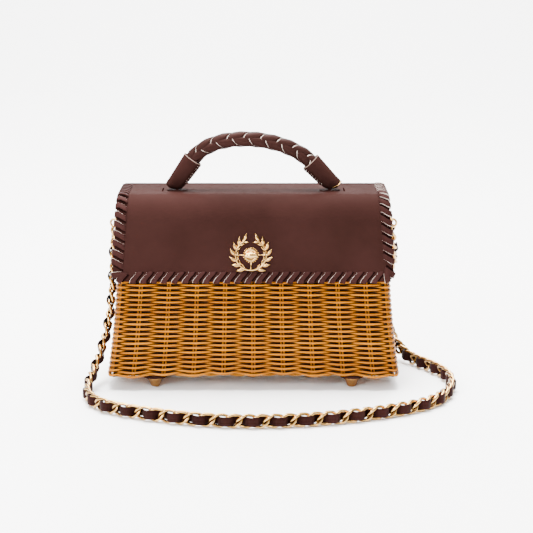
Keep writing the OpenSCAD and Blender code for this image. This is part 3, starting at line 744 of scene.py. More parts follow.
class Finishes:
    """Every material of the bag, built once."""

    def __init__(self) -> None:
        """Builds the shared effects and the materials."""
        effects = Effects()
        self.leather = LeatherFinish("Flap leather").material(effects)
        self.lace = LeatherFinish("Lace leather", dark=(0.0205, 0.0078, 0.0068, 1.0),
                                  light=(0.0275, 0.0106, 0.0094, 1.0), pale=(0.58, 0.48, 0.42, 1.0),
                                  rough=0.40, shine=0.006, edge_width=0.09).material(effects)
        self.braid = LeatherFinish("Braid leather", pale=(0.52, 0.42, 0.36, 1.0), rough=0.42,
                                   shine=0.03, edge_width=0.105).material(effects)
        self.strap = LeatherFinish("Strap leather", dark=(0.0105, 0.0031, 0.0026, 1.0),
                                   light=(0.0165, 0.0052, 0.0043, 1.0), shine=0.03).material(effects)
        # Near-black leather for the painted shade in each slit and slot and the painted shadow beside each
        # stitch.
        self.painted_shade = LeatherFinish("Painted shade leather", dark=(0.0042, 0.0013, 0.0010, 1.0),
                                  light=(0.0062, 0.0020, 0.0016, 1.0), shine=0.0).material(effects)
        self.rim = LeatherFinish("Sleeve rim leather", dark=(0.20, 0.13, 0.105, 1.0),
                                 light=(0.27, 0.19, 0.155, 1.0), rough=0.6).material(effects)
        self.gilt = GiltFinish("Pale gilt").material(effects)
        # The chain and the clasp take painted shade and dark reflection in their recesses.
        self.link_gilt = GiltFinish("Chain gilt", base=(0.52, 0.31, 0.10, 1.0),
                                    shade=(0.26, 0.13, 0.034, 1.0), rough=0.12,
                                    recess=0.95).material(effects)
        self.clasp_gilt = GiltFinish("Clasp gilt", recess_shade=(0.13, 0.055, 0.014, 1.0),
                                     recess=0.85).material(effects)
        # The feet's dark brass is partly their own copper-brass colour and partly painted shade, as they
        # stand in the bag's shadow.
        self.brass = GiltFinish("Foot brass", base=(0.30, 0.15, 0.048, 1.0), shade=(0.20, 0.09, 0.026, 1.0),
                                rough=0.26).material(effects)
        self.wicker = WickerFinish("Honey rattan").material()
        self.stake = WickerFinish("Stake rattan", honey=(0.22, 0.066, 0.0012, 1.0),
                                  straw=(0.32, 0.112, 0.0030, 1.0), fibre_u=60.0).material()
        self.lining = LiningFinish("Dark lining").material()


@dataclass
class Maker:
    """A sub-assembly of the bag, made to its plan in its finishes."""

    plan: BagPlan
    finishes: Finishes


# The chain strap


@dataclass
class Strap(Maker):
    """The chain with leather woven through it, on its route from one anchor to the other."""

    wire_r: float = 1.45
    link_w: float = 13.0
    link_len: float = 18.0
    link_pitch: float = 11.5
    link_twist: float = 1.8
    link_skew: float = 0.7
    link_in: float = 1.0
    lie_z: float = 6.64
    lace_w: float = 8.3
    lace_t: float = 1.25
    lace_swing: float = 3.9
    lace_in: float = 3.0
    end_x: float = 128.41
    end_z: float = 142.94
    facing_r: float = 35.0
    facing_run: float = 3.0
    curve_steps: int = 6

    def __post_init__(self) -> None:
        """Works out the smooth route and the links on it."""
        lie = self.lie_z
        self.route = [Vector(p) for p in (
            (-self.end_x, 0, self.end_z), (-129, 0, 130), (-130, 0, 112), (-131, 0, 94), (-132, -2, 76),
            (-134, -8, 58), (-137, -18, 42), (-141, -31, 28), (-145, -46, 17), (-148, -62, 10),
            (-148, -80, lie), (-144, -100, lie), (-134, -119, lie), (-119, -133, lie), (-100, -144, lie),
            (-78, -154, lie), (-54, -163, lie), (-28, -169, lie), (-2, -171, lie), (24, -170, lie),
            (48, -166, lie), (72, -160, lie), (94, -152, lie), (116, -142, lie), (137, -130, lie),
            (155, -115, lie), (168, -97, lie), (176, -76, lie), (180, -54, lie), (179, -32, lie),
            (174, -12, lie), (165, 7, lie), (155, 24, lie), (147, 37, 8.5), (140.5, 47.5, 13),
            (134.5, 55, 21), (129.5, 59, 33), (126.5, 59.5, 48), (125, 58, 63), (125, 54.5, 77),
            (127, 48.8, 89.5), (130.2, 38, 99), (130.2, 27, 107.5), (130.2, 17, 115), (130, 9.6, 121),
            (129.5, 4.2, 127.5), (128.9, 1, 135), (self.end_x, 0, self.end_z))]
        ends = [2 * self.route[0] - self.route[1], *self.route, 2 * self.route[-1] - self.route[-2]]
        self.curve = [self._between(ends[i:i + 4], k / self.curve_steps)
                      for i in range(len(ends) - 3) for k in range(self.curve_steps)] + [self.route[-1]]
        self.track = Track(self.curve)
        self.hold = self.link_len / 2 - self.link_in
        free = self.track.length - 2 * self.hold
        self.count = round(free / self.link_pitch) + 1
        self.step = free / (self.count - 1)

    @staticmethod
    def _between(p: Sequence[Vector], t: float) -> Vector:
        """Returns the point at t between the middle two of four points, on a smooth curve."""
        return 0.5 * (2 * p[1] + (p[2] - p[0]) * t + (2 * p[0] - 5 * p[1] + 4 * p[2] - p[3]) * t * t
                      + (3 * p[1] - p[0] - 3 * p[2] + p[3]) * t ** 3)

    def at(self, run: float) -> Vector:
        """Returns the route's point at a run from the left anchor."""
        return self.track.at(run)[0]

    def frame(self, run: float) -> Matrix:
        """Finds how the strap lies.

        Args:
            run: The length along the route from the left anchor.

        Returns:
            The strap's frame: X the way it faces, Y across it, Z along it.
        """
        p = self.at(run)
        t = (self.at(run + self.facing_run) - self.at(run - self.facing_run)).normalized()
        a, b = self.plan.half_w(p.z) - self.facing_r, self.plan.half_d(p.z) - self.facing_r
        out = Vector((p.x - clamp(p.x, -a, a), p.y - clamp(p.y, -b, b), 0))
        out = out / max(out.length, 1e-3)
        v = Vector((-t.y, t.x, 0)) - 2 * abs(t.z) * out
        f = (v - v.dot(t) * t).normalized()
        w = t.cross(f)
        return Matrix.Translation(p) @ Matrix((f, w, t)).transposed().to_4x4()

    def link(self, bm: Shape, matrix: Matrix) -> None:
        """Adds one curb link.

        Args:
            bm: The bmesh that takes the link.
            matrix: The strap's frame at the link's middle.
        """
        half_l, half_w = self.link_len / 2 - self.wire_r, self.link_w / 2 - self.wire_r
        seam, near = 0.02, 0.03

        def middle(turn: float) -> Vector:
            """Returns the middle of the wire at a turn round the link."""
            c, s = math.cos(turn), math.sin(turn)
            across = half_w * s
            along = half_l * c + self.link_skew * across * abs(c)
            return Vector((self.link_twist * math.sin(2 * turn), across, along))

        def place(u: float, v: float) -> Vector:
            """Returns a point of the wire's skin."""
            turn = math.tau * (u + seam)
            c = middle(turn)
            along = (middle(turn + near) - middle(turn - near)).normalized()
            side = Vector((0, c.y / half_w, c.z / half_l))
            side = (side - side.dot(along) * along).normalized()
            return matrix @ (c + self.wire_r * swung(math.tau * v, side, along.cross(side)))

        form_grid(bm, 24, 8, place)

    def chain(self) -> Piece:
        """Builds the curb links and returns them."""
        bm = new_bmesh()
        for i in range(self.count):
            self.link(bm, self.frame(self.hold + i * self.step))
        weld(bm)
        return make_piece(bm, "strap_chain_links", self.finishes.link_gilt, Body.BASKET, Slot.GILT,
                          ["strap_chain"])

    def lace(self) -> Piece:
        """Builds the leather strip and returns it."""
        bm = new_bmesh()
        start = self.hold + self.step - self.lace_in
        end = self.hold + self.step * (self.count - 2) - self.step / 2

        def place(u: float, v: float) -> Vector:
            """Returns a point of the strip's skin."""
            run = mix(start, end, u)
            wave = math.cos(math.pi * (run - self.hold - self.step / 2) / self.step)
            swing = self.lace_swing * math.copysign(abs(wave) ** 0.5, wave)
            across, out = flat_section(v, self.lace_w / 2, self.lace_t / 2)
            return self.frame(run) @ Vector((swing + out, across, 0))

        form_tube(bm, 9 * (self.count - 3), 12, place)
        return make_piece(bm, "strap_leather", self.finishes.strap, Body.BASKET, Slot.LEATHER,
                          ["strap_lace"])

    def build(self, nodes: dict[str, Piece]) -> None:
        """Args:
            nodes: The CAD nodes by name; not used.
        """
        links = self.chain()
        leather = self.lace()
        [tuple(p * MM) for p in self.curve]


# The woven basket


@dataclass
class Basket(Maker):
    """The woven wall with its stakes, rim, floor and dark backing."""

    stakes_front: int = 9
    stakes_end: int = 4
    row_pitch: float = 2.2
    first_row: float = 0.35
    rod_high: float = 1.14
    rod_low: float = 0.84
    rod_deep: float = 0.98
    weave_mid: float = -1.5
    weave_swing: float = 1.72
    weave_sink: float = 2.0
    rod_sunk: float = 0.62
    backing_in: float = 4.4
    backing_rise: float = 1.6
    backing_drop: float = 2.0
    stake_r: float = 0.62
    stake_apart: float = 1.2
    stake_rise: float = 0.6
    foot_arch: float = 2.4
    arch_rows: int = 20
    scallop: float = 0.8
    scallop_rows: int = 7
    flare: float = 2.8
    flare_rise: float = 70.0
    corner_rise: float = 22.0
    probe_z: float = 162.0
    rim_r: float = 1.5
    rim_drop: float = 1.0
    rim_in: float = 2.2
    rim_turns: int = 92
    strand_r: float = 1.2
    strand_off: float = 0.8
    floor_rods: int = 43
    floor_pitch: float = 2.45
    floor_rod_r: float = 1.15
    floor_rise: float = 2.0
    floor_wave: float = 0.75
    floor_over: float = 13.0
    floor_in: float = 4.0
    floor_round: float = 0.0016

    def __post_init__(self) -> None:
        """Works out the columns round the basket: two for each stake, and two round each corner."""
        self.front = 2 * self.stakes_front
        self.end = 2 * self.stakes_end
        self.columns = 2 * (self.front + self.end + 4)

    def around(self, column: float, z: float, out: float) -> tuple[Vector, Vector]:
        """Finds a point of the wall.

        Args:
            column: The place round the basket, counted in half stakes from the front left corner.
            z: The height.
            out: The distance out of the wall's face.

        Returns:
            The point and the direction out of the wall there.
        """
        column %= self.columns
        flare = self.flare * max(0.0, 1 - (z - self.plan.basket_z) / self.flare_rise) ** 2
        a = self.plan.half_w(z) + flare - self.plan.corner_r
        b = self.plan.half_d(z) - self.plan.corner_r
        half = self.columns / 2
        flip = 1.0 if column < half else -1.0
        column -= 0.0 if column < half else half
        if column <= self.front:
            foot, turn = Vector((mix(-a, a, column / self.front), -b, 0)), -math.pi / 2
        elif column < self.front + 2:
            foot, turn = Vector((a, -b, 0)), -math.pi / 2 + (column - self.front) * math.pi / 4
        elif column <= self.front + 2 + self.end:
            foot, turn = Vector((a, mix(-b, b, (column - self.front - 2) / self.end), 0)), 0.0
        else:
            foot, turn = Vector((a, b, 0)), (column - self.front - 2 - self.end) * math.pi / 4
        n = Vector((math.cos(turn), math.sin(turn), 0))
        p = foot + (self.plan.corner_r + out) * n
        return Vector((flip * p.x, flip * p.y, z)), flip * n

    def rim(self, column: float) -> float:
        """Finds the height of the rim, low in front and up to the lid on the other sides.

        Args:
            column: The place round the basket, as in around.

        Returns:
            The height.
        """
        column %= self.columns
        plan = self.plan
        if column <= self.front:
            return plan.front_rim_z + self.corner_rise * clamp(1 - min(column, self.front - column))
        r = plan.shoulder_r - plan.flap_t - plan.lacing_room - plan.rim_gap
        y = self.around(column, self.probe_z, 0.0)[0].y
        under = plan.rim_top
        if y <= plan.shoulder_y:
            under = plan.shoulder_z + math.sqrt(max(0.0, r * r - (y - plan.shoulder_y) ** 2))
        near = min(column - self.front, self.columns - column)
        return mix(plan.front_rim_z + self.corner_rise, under, near) if near < 1 else under

    def arch(self, column: float, z: float) -> float:
        """Finds the rise of a row over the arched foot of the long walls, with its scallops.

        Args:
            column: The place round the basket, as in around.
            z: The row's height at the corners.

        Returns:
            The rise.
        """
        rows = (z - self.plan.basket_z) / self.row_pitch
        local = column % (self.columns / 2)
        rise = 0.0
        if local <= self.front:
            rise = self.foot_arch * (1 - (2 * local / self.front - 1) ** 2)
            rise *= max(0.0, 1 - rows / self.arch_rows)
        low = max(0.0, 1 - rows / self.scallop_rows)
        return rise - self.scallop * low * math.cos(math.pi * (column - 1))

    def foot(self, column: float) -> float:
        """Returns the height of the wall's lower edge where the foot is arched."""
        return self.plan.basket_z + max(0.0, self.arch(column, self.plan.basket_z))

    def weaver_span(self, z: float) -> tuple[float, float]:
        """Finds how far a row reaches round the basket.

        Args:
            z: The row's height.

        Returns:
            The row's first and last column.
        """
        if z < self.plan.front_rim_z - 2 * self.rim_r:
            return 0.0, float(self.columns)
        first, last = float(self.front) - 1, float(self.columns) + 1
        while self.rim(first) - 2 * self.rim_r < z and first < self.front + 6:
            first += 0.1
        while self.rim(last) - 2 * self.rim_r < z and last > self.columns - 6:
            last -= 0.1
        return first, last

    @staticmethod
    def wave(column: float, row: int) -> float:
        """Returns 1 where a row passes over a stake and -1 where it passes under one."""
        return math.cos(math.pi * (column - 1) / 2 + math.pi * row)

    def weaver(self, bm: Shape, depth: Any, row: int) -> None:
        """Adds one weaver.

        Args:
            bm: The bmesh that takes the weaver.
            depth: The float layer that takes how far each corner lies out of the light.
            row: The weaver's row, counted from the foot.
        """
        z0 = self.plan.basket_z + max(row, self.first_row) * self.row_pitch
        first, last = self.weaver_span(z0)

        def place(u: float, v: float) -> Vector:
            """Returns a point of the weaver's skin."""
            column, turn = mix(first, last, u), math.tau * v
            wave = self.wave(column, row)
            high = mix(self.rod_low, self.rod_high if wave > 0 else self.rod_sunk, abs(wave))
            z = z0 + self.arch(column, z0) + high * math.sin(turn)
            swing = self.weave_swing if wave > 0 else self.weave_sink
            out = self.weave_mid + swing * wave + self.rod_deep * math.cos(turn)
            return self.around(column, z, out)[0]

        def hidden(u: float, v: float) -> float:
            """Returns how far a point of the weaver's skin lies out of the light."""
            turn = math.tau * v
            sunk, inner, lower = 0.22, 0.5, 0.48
            return max(sunk - self.wave(mix(first, last, u), row), inner - inner * math.cos(turn),
                       -lower * math.sin(turn))

        weld(bm, form_grid(bm, round((last - first) * 3), 6, place, depth, hidden))

    def weave(self) -> None:
        """Builds the weavers, row by row."""
        bm = new_bmesh()
        # The layer of painted shade that the wicker material reads, filled by hidden.
        depth = bm.verts.layers.float.new("Depth")
        top = self.plan.rim_top - 2 * self.rim_r
        for row in range(int((top - self.plan.basket_z) / self.row_pitch)):
            self.weaver(bm, depth, row)
        cap(bm)
        make_piece(bm, "basket_weave", self.finishes.wicker, Body.BASKET, Slot.WICKER, ["basket"])

    def stake(self, bm: Shape, column: int, side: Side) -> None:
        """Adds one stake of a pair.

        Args:
            bm: The bmesh that takes the stake.
            column: The pair's place round the basket.
            side: The stake's side of the pair.
        """
        top = self.rim(column) - self.rim_r
        foot = self.foot(column) + self.stake_rise

        def place(u: float, v: float) -> Vector:
            """Returns a point of the stake's skin."""
            turn = math.tau * v
            p, n = self.around(column, mix(foot, top, u), self.weave_mid + self.stake_r * math.cos(turn))
            aside = side.value * self.stake_apart + self.stake_r * math.sin(turn)
            return p + Vector((-n.y, n.x, 0)) * aside

        form_tube(bm, 6, 8, place, capped=False)

    def stakes(self) -> None:
        """Builds the pairs of upright stakes."""
        bm = new_bmesh()
        for column in range(1, self.columns, 2):
            for side in Side:
                self.stake(bm, column, side)
        cap(bm)
        make_piece(bm, "basket_stakes", self.finishes.stake, Body.BASKET, Slot.WICKER)

    def rim_strand(self, bm: Shape, start: float) -> None:
        """Adds one strand of the twisted rim.

        Args:
            bm: The bmesh that takes the strand.
            start: The share of a turn that it starts at.
        """
        def place(u: float, v: float) -> Vector:
            """Returns a point of the strand's skin."""
            column, turn = u * self.columns, math.tau * v
            twist = math.tau * (u * self.rim_turns + start)
            z = self.rim(column) - self.rim_r - self.rim_drop
            z = z + self.strand_off * math.sin(twist) + self.strand_r * math.sin(turn)
            out = -self.rim_in + self.strand_off * math.cos(twist) + self.strand_r * math.cos(turn)
            return self.around(column, z, out)[0]

        form_tube(bm, self.columns * 9, 6, place, capped=False)

    def border(self) -> None:
        """Builds the rim of two twisted strands round the basket's mouth."""
        bm = new_bmesh()
        for start in (0.0, 0.5):
            self.rim_strand(bm, start)
        make_piece(bm, "basket_rim", self.finishes.stake, Body.BASKET, Slot.WICKER)

    def floor_rod(self, bm: Shape, i: int) -> None:
        """Adds one rod of the floor.

        Args:
            bm: The bmesh that takes the rod.
            i: The rod's number from the front.
        """
        y = (i - (self.floor_rods - 1) / 2) * self.floor_pitch
        reach = self.plan.half_w(self.plan.basket_z) - self.floor_in - self.floor_round * y * y

        def place(u: float, v: float) -> Vector:
            """Returns a point of the floor rod's skin."""
            x, turn = mix(-reach, reach, u), math.tau * v
            lift = self.floor_wave * math.cos(math.pi * x / self.floor_over + math.pi * i)
            z = self.plan.basket_z + self.floor_rise + lift + self.floor_rod_r * math.sin(turn)
            return Vector((x, y + self.floor_rod_r * math.cos(turn), z))

        form_grid(bm, 76, 5, place)

    def floor(self) -> None:
        """Builds the woven floor."""
        bm = new_bmesh()
        for i in range(self.floor_rods):
            self.floor_rod(bm, i)
        weld(bm)
        cap(bm)
        make_piece(bm, "basket_floor", self.finishes.stake, Body.BASKET, Slot.WICKER)

    def backing(self) -> None:
        """Builds the dark cloth close behind the weave."""
        bm = new_bmesh()

        def place(u: float, v: float) -> Vector:
            """Returns a point of the cloth."""
            column = u * self.columns
            z = mix(self.foot(column) + self.backing_rise, self.rim(column) - self.backing_drop, v)
            return self.around(column, z, -self.backing_in)[0]

        form_grid(bm, self.columns * 2, 24, place)
        weld(bm)
        make_piece(bm, "basket_backing", self.finishes.lining, Body.BASKET, Slot.LINING)

    def build(self) -> None:
        """Builds every piece of the basket."""
        self.backing()
        self.weave()
        self.stakes()
        self.border()
        self.floor()


# The flap and its lacing


@dataclass(frozen=True)
class Stitch:
    """The place of one stitch on the flap's outer edge.

    Its directions run along the edge, towards the pale side of the lace, out across the edge,
    and out of the flap's face. Its slant is how far its inner end lies back along the edge.
    """

    origin: Vector
    along: Vector
    across: Vector
    out: Vector
    slant: float

    def point(self, x: float, y: float, z: float) -> Vector:
        """Returns the point at distances along, across and out."""
        return self.origin + self.along * x + self.across * y + self.out * z


@dataclass
class Flap(Maker):
    """The leather flap, its lacing, and the leather over the hinge."""

    lace_w: float = 5.6
    lace_t: float = 1.3
    lace_lift: float = 0.15
    lace_tilt: float = 0.35
    lace_reach: float = 8.2
    lace_slant: float = 6.0
    side_slant: float = 4.2
    corner_slant: float = 2.0
    end_gap: float = 3.0
    corner_gap: float = 1.2
    stitches_front: int = 24
    stitches_end: int = 15
    corner_angles: tuple[float, float] = (math.radians(20.0), math.radians(66.0))
    crown: float = 0.35
    edge_round: float = 0.9
    slit_past: float = 0.7
    slit_lift: float = 0.12
    slit_short: float = 0.15
    cover_out: float = 4.55
    cover_lift: float = 0.12
    cover_in: float = 0.6
    cover_bend_y: float = 2.35
    cover_bend_z: float = 2.1

    def sheet(self) -> None:
        """Builds the flap, with finer steps round its lower corners."""
        plan = self.plan
        bm = new_bmesh()
        end, r, fine = plan.end_run, plan.flap_corner_r, 0.9

        def place(u: float, v: float) -> Vector:
            """Returns a point of the flap's outer face."""
            run = end * v if v < fine else mix(fine * end, end, math.sin((v - fine) * 5 * math.pi))
            y, z, turn = plan.profile(run)
            into = max(0.0, run - (end - r))
            half = plan.flap_half_w(z) - (r - math.sqrt(max(0.0, r * r - into * into)))
            crown = self.crown * math.sin(math.pi * u) * math.sin(math.pi * clamp(run / end))
            return Vector((mix(-half, half, u), y - crown * math.sin(turn), z + crown * math.cos(turn)))

        form_grid(bm, 72, 110, place)
        weld(bm)
        face_up(bm)
        piece = make_piece(bm, "flap_leather", self.finishes.leather, Body.LID, Slot.LEATHER, ["flap"],
                           sheet=True)
        solid = piece.modifiers.new("Thickness", "SOLIDIFY")
        solid.thickness, solid.offset = plan.flap_t * MM, -1.0
        bevel = piece.modifiers.new("Edge", "BEVEL")
        bevel.width, bevel.segments, bevel.limit_method = self.edge_round * MM, 3, "ANGLE"

    def stitch(self, bm: Shape, at: Stitch) -> None:
        """Adds one stitch of the lace over the flap's edge.

        Args:
            bm: The bmesh that takes the stitch.
            at: The stitch's place.
        """
        t, reach, slant = self.lace_lift + self.lace_t / 2, self.lace_reach, at.slant
        path = [Vector(p) for p in (
            (-slant * 1.02, -reach - 0.5, -0.6), (-slant, -reach + 0.2, 0.35),
            (-0.88 * slant, -reach + 1.4, t + 0.2), (-0.45 * slant, -reach / 2, t + 0.45),
            (-0.12 * slant, -1.6, t + 0.2), (0.0, 0.5, t - 0.5), (0.0, 1.25, -1.5), (0.0, 0.6, -3.2),
            (0.0, -1.6, -4.0), (0.0, -reach + 1.2, -3.95), (0.0, -reach, -3.0))]
        legs = len(path) - 1

        def place(u: float, v: float) -> Vector:
            """Returns a point of the lace's skin."""
            k, s = leg_of(legs, u)
            way = path[k + 1] - path[k - 1 if s == 0.0 and k > 0 else k]
            out = Vector((0, -way.z, way.y)).normalized()
            across, thick = flat_section(v, self.lace_w / 2, self.lace_t / 2)
            lift = thick - self.lace_tilt * across / self.lace_w
            p = path[k].lerp(path[k + 1], s) - Vector((across, 0, 0)) - out * lift
            return at.point(*p)

        form_grid(bm, legs, 12, place)

    def slit(self, bm: Shape, at: Stitch) -> None:
        """Adds the painted shade of the slit that a stitch goes into, which runs on beside the stitch as a
        painted shadow.

        Args:
            bm: The bmesh that takes the slit.
            at: The stitch's place.
        """
        half, inner, rows = self.lace_w / 2, self.lace_reach + self.slit_past, 9
        shadow_inner, shadow_outer = 2.3, 1.4
        slit_end, shadow_under = 0.5, 0.6

        def place(u: float, v: float) -> Vector:
            """Returns a point of the thin face: the slit's painted shade in its first row, and the painted
            shadow beside the stitch in the others.
            """
            low = -half - mix(shadow_inner, shadow_outer, v)
            high = mix(half + slit_end, -half + shadow_under, clamp(v * float(rows)))
            along = mix(low, high, u) - at.slant * (1 - v)
            return at.point(along, inner * (v - 1) - self.slit_short * v, self.slit_lift)

        form_grid(bm, 6, rows, place)

    def stitches(self) -> list[Stitch]:
        """Lays out the stitches.

        Returns:
            Every stitch's place: along both ends, along the front and round the corners.
        """
        plan = self.plan
        made = []
        first = self.end_gap + self.lace_slant
        corner = self.lace_reach + self.corner_gap + self.end_gap + self.lace_slant
        right, down = Vector((1, 0, 0)), -plan.front_up
        for side in Side:
            for i in range(self.stitches_end):
                y, z, turn = plan.profile(mix(first, plan.end_run - corner, i / (self.stitches_end - 1)))
                edge_at = Vector((side.value * plan.flap_half_w(z), y, z))
                along = side.value * Vector((0, -math.cos(turn), -math.sin(turn)))
                out = Vector((0, -math.sin(turn), math.cos(turn)))
                made.append(Stitch(edge_at, along, side.value * right, out, self.side_slant))
        edge = plan.flap_half_w(plan.flap_edge_z) - corner
        for i in range(self.stitches_front):
            x = mix(-edge, edge, i / (self.stitches_front - 1))
            edge_at = Vector((x, plan.flap_front_y(plan.flap_edge_z), plan.flap_edge_z))
            made.append(Stitch(edge_at, -right, down, plan.front_out, self.lace_slant))
        z = plan.flap_edge_z + plan.flap_corner_r * math.cos(plan.front_lean)
        for side in Side:
            x = side.value * (plan.flap_half_w(z) - plan.flap_corner_r)
            middle = Vector((x, plan.flap_front_y(z), z))
            for angle in self.corner_angles:
                across = side.value * math.cos(angle) * right + math.sin(angle) * down
                along = side.value * math.cos(angle) * down - math.sin(angle) * right
                edge_at = middle + plan.flap_corner_r * across
                made.append(Stitch(edge_at, along, across, plan.front_out, self.corner_slant))
        return made

    def lacing(self) -> None:
        """Builds all stitches, with the painted shade of the slit under each and the painted shadow beside
        it.
        """
        laces, slit_shades = new_bmesh(), new_bmesh()
        for at in self.stitches():
            self.stitch(laces, at)
            self.slit(slit_shades, at)
        weld(laces)
        cap(laces)
        make_piece(laces, "flap_lace", self.finishes.lace, Body.LID, Slot.LEATHER, ["flap_lacing"])
        weld(slit_shades)
        # Painted shade in each slit and painted shadow beside each stitch.
        make_piece(slit_shades, "flap_slit_shades", self.finishes.painted_shade, Body.LID, Slot.LEATHER, sheet=True)

    def hinge_cover(self) -> None:
        """Builds the leather that runs from the back panel over the hinge."""
        plan = self.plan
        bm = new_bmesh()
        path = [(plan.half_d(z) + self.cover_out, z) for z in (160.0, 164.0, 168.0, 171.0)]
        path += [(plan.hinge_y + self.cover_bend_y * math.cos(a),
                  plan.hinge_z + self.cover_bend_z * math.sin(a)) for a in (0.15, 0.6, 1.05, 1.5)]
        path += [(y, plan.lid_top_z + self.cover_lift) for y in (36.5, 34.5, 33.0)]
        half = plan.flap_half_w(plan.lid_top_z) - self.cover_in
        legs = len(path) - 1

        def place(u: float, v: float) -> Vector:
            """Returns a point of the cover."""
            k, s = leg_of(legs, u)
            (y0, z0), (y1, z1) = path[k], path[k + 1]
            return Vector((mix(-half, half, v), mix(y0, y1, s), mix(z0, z1, s)))

        form_grid(bm, legs * 2, 40, place)
        face_up(bm)
        cover = make_piece(bm, "hinge_leather", self.finishes.leather, None, Slot.LEATHER, sheet=True)
        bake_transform(cover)

    def build(self) -> None:
        """Builds every piece of the flap."""
        self.sheet()
        self.lacing()
        self.hinge_cover()


# The handle


@dataclass
class Handle(Maker):
    """The braided grip, its sleeves and their trim."""

    span: float = 140.0
    pivot_z: float = 183.4
    angle_left: float = math.radians(55.0)
    angle_right: float = math.radians(46.0)
    sleeve_len: float = 25.0
    sleeve_tail: float = 8.5
    swing_r: float = 7.25
    end_r: float = 7.9
    rim_r: float = 9.1
    rim_wire: float = 0.3
    rim_in: float = 0.2
    slot_x: float = 83.3
    slot_w: float = 1.5
    slot_lift: float = 0.28
    grip_reach: float = 34.0
    grip_in: float = 7.0
    braid_turn: float = 30.0
    braid_mid: float = 5.05
    braid_lift: float = 0.8
    braid_phase: float = math.radians(63.0)
    braid_crown: float = 0.85
    strand_t: float = 1.6
    strand_waist: float = 0.86
    core_r: float = 4.3
    seam_stitches: int = 8
    seam_half: float = 34.0
    seam_lift: float = 0.15
    seam_bow: float = 0.35
    seam_t: float = 0.8
    seam_w: float = 1.8
    seam_slant: float = 1.6
    arc_r: float = 7.75
    arc_wire: float = 0.45
    arc_in: float = 1.1
    arc_room: float = 0.18

    def sleeve_dir(self, side: Side) -> Vector:
        """Returns the direction of a sleeve from its pivot."""
        angle = self.angle_left if side is Side.LEFT else self.angle_right
        return Vector((-side.value * math.cos(angle), 0, math.sin(angle)))

    def pivot(self, side: Side) -> Vector:
        """Returns the point that a sleeve swings about."""
        return Vector((side.value * self.span / 2, 0, self.pivot_z))

    def rim_at(self, side: Side) -> Vector:
        """Returns the middle of a sleeve's rim."""
        return self.pivot(side) + self.sleeve_len * self.sleeve_dir(side)

    def along_sleeve(self, side: Side, at: Vector) -> Matrix:
        """Returns a frame at a point with its Z along a sleeve."""
        turn = self.sleeve_dir(side).to_track_quat("Z", "Y").to_matrix().to_4x4()
        return Matrix.Translation(at) @ turn

    @staticmethod
    def held(off: Vector, reach: float) -> Vector:
        """Draws in a point under the pivot so that it clears the lid as the handle swings.

        Args:
            off: The point, measured from the pivot.
            reach: The longest distance from the pivot's axis.

        Returns:
            The point's new place, measured from the pivot.
        """
        far = math.hypot(off.y, off.z)
        if off.z < 0 and far > reach:
            return Vector((off.x, off.y * reach / far, off.z * reach / far))
        return off

    def path(self) -> list[Vector]:
        """Works out the middle line of the grip.

        Returns:
            Points along it, close together.
        """
        left, right = self.rim_at(Side.LEFT), self.rim_at(Side.RIGHT)
        left_way, right_way = self.sleeve_dir(Side.LEFT), self.sleeve_dir(Side.RIGHT)
        a, b = left + self.grip_reach * left_way, right + self.grip_reach * right_way
        bends, straights = 200, 8
        bend = [(1 - t) ** 3 * left + 3 * t * (1 - t) ** 2 * a + 3 * t * t * (1 - t) * b + t ** 3 * right
                for t in (i / bends for i in range(bends + 1))]
        start = [left - self.grip_in * k / straights * left_way for k in range(straights, 0, -1)]
        end = [right - self.grip_in * k / straights * right_way for k in range(1, straights + 1)]
        return start + bend + end

    def strand(self, bm: Shape, track: Track, way: int, start: float) -> None:
        """Adds one strand of the braid.

        Args:
            bm: The bmesh that takes the strand.
            track: The grip's middle line.
            way: 1 or -1, the way that the strand turns round the grip.
            start: The strand's turn at the grip's start.
        """
        quarter = self.braid_turn / 4

        def place(u: float, v: float) -> Vector:
            """Returns a point of the strand's skin."""
            s = mix(-quarter, track.length + quarter, u)
            turn = way * math.tau * s / self.braid_turn + start + math.pi / 4
            wave = math.cos(2 * (turn - self.braid_phase))
            half_w = quarter * mix(self.strand_waist, 1.0, abs(wave))
            across, out = flat_section(v, half_w, self.strand_t / 2)
            lift = -way * self.braid_lift * math.copysign(abs(wave) ** 0.3, wave)
            crown = self.braid_crown * (1 - (across / quarter) ** 2)
            p, t = track.at(s + across)
            return p + (self.braid_mid + lift + out + crown) * swung(turn, Vector((-t.z, 0, t.x)), BACK)

        form_grid(bm, 170, 12, place)

    def grip(self) -> None:
        """Builds the four strands of the braid round a core."""
        bm = new_bmesh()
        track = Track(self.path())
        for way in (-1, 1):
            for start in (0.0, math.pi):
                self.strand(bm, track, way, start)

        def core(u: float, v: float) -> Vector:
            """Returns a point of the core's skin."""
            p, t = track.at(track.length * u)
            return p + self.core_r * swung(math.tau * v, Vector((-t.z, 0, t.x)), BACK)

        form_grid(bm, 60, 16, core)
        weld(bm)
        cap(bm)
        make_piece(bm, "handle_braid", self.finishes.braid, Body.HANDLE, Slot.LEATHER, ["handle_grip"])

    def sleeves(self) -> None:
        """Builds the plain leather sleeves, whose soft ends close round the mounts."""
        tail, top, rim = -self.sleeve_tail, self.sleeve_len, self.rim_r
        profile = [(0, tail), (5.2, tail), (6.7, tail + 0.4), (7.5, tail + 1.3), (self.end_r, tail + 2.6)]
        profile += [(mix(self.end_r, rim, t), top * t) for t in (0.0, 0.2, 0.4, 0.6, 0.8)]
        profile += [(rim, top - 0.5), (rim - 0.15, top - 0.05), (rim - 0.6, top + 0.1),
                    (rim - 1.0, top - 0.2), (rim - 1.2, top - 1.5), (rim - 1.8, top - 6.0)]
        for side in Side:
            pivot = self.pivot(side)
            bm = new_bmesh()
            spin_profile(bm, profile, self.along_sleeve(side, pivot), 48)
            for vert in bm.verts:
                vert.co = pivot + self.held(vert.co - pivot, self.swing_r)
            name = side.name.lower()
            make_piece(bm, f"sleeve_leather_{name}", self.finishes.leather, Body.HANDLE, Slot.LEATHER,
                       [f"handle_sleeve_{name}"])

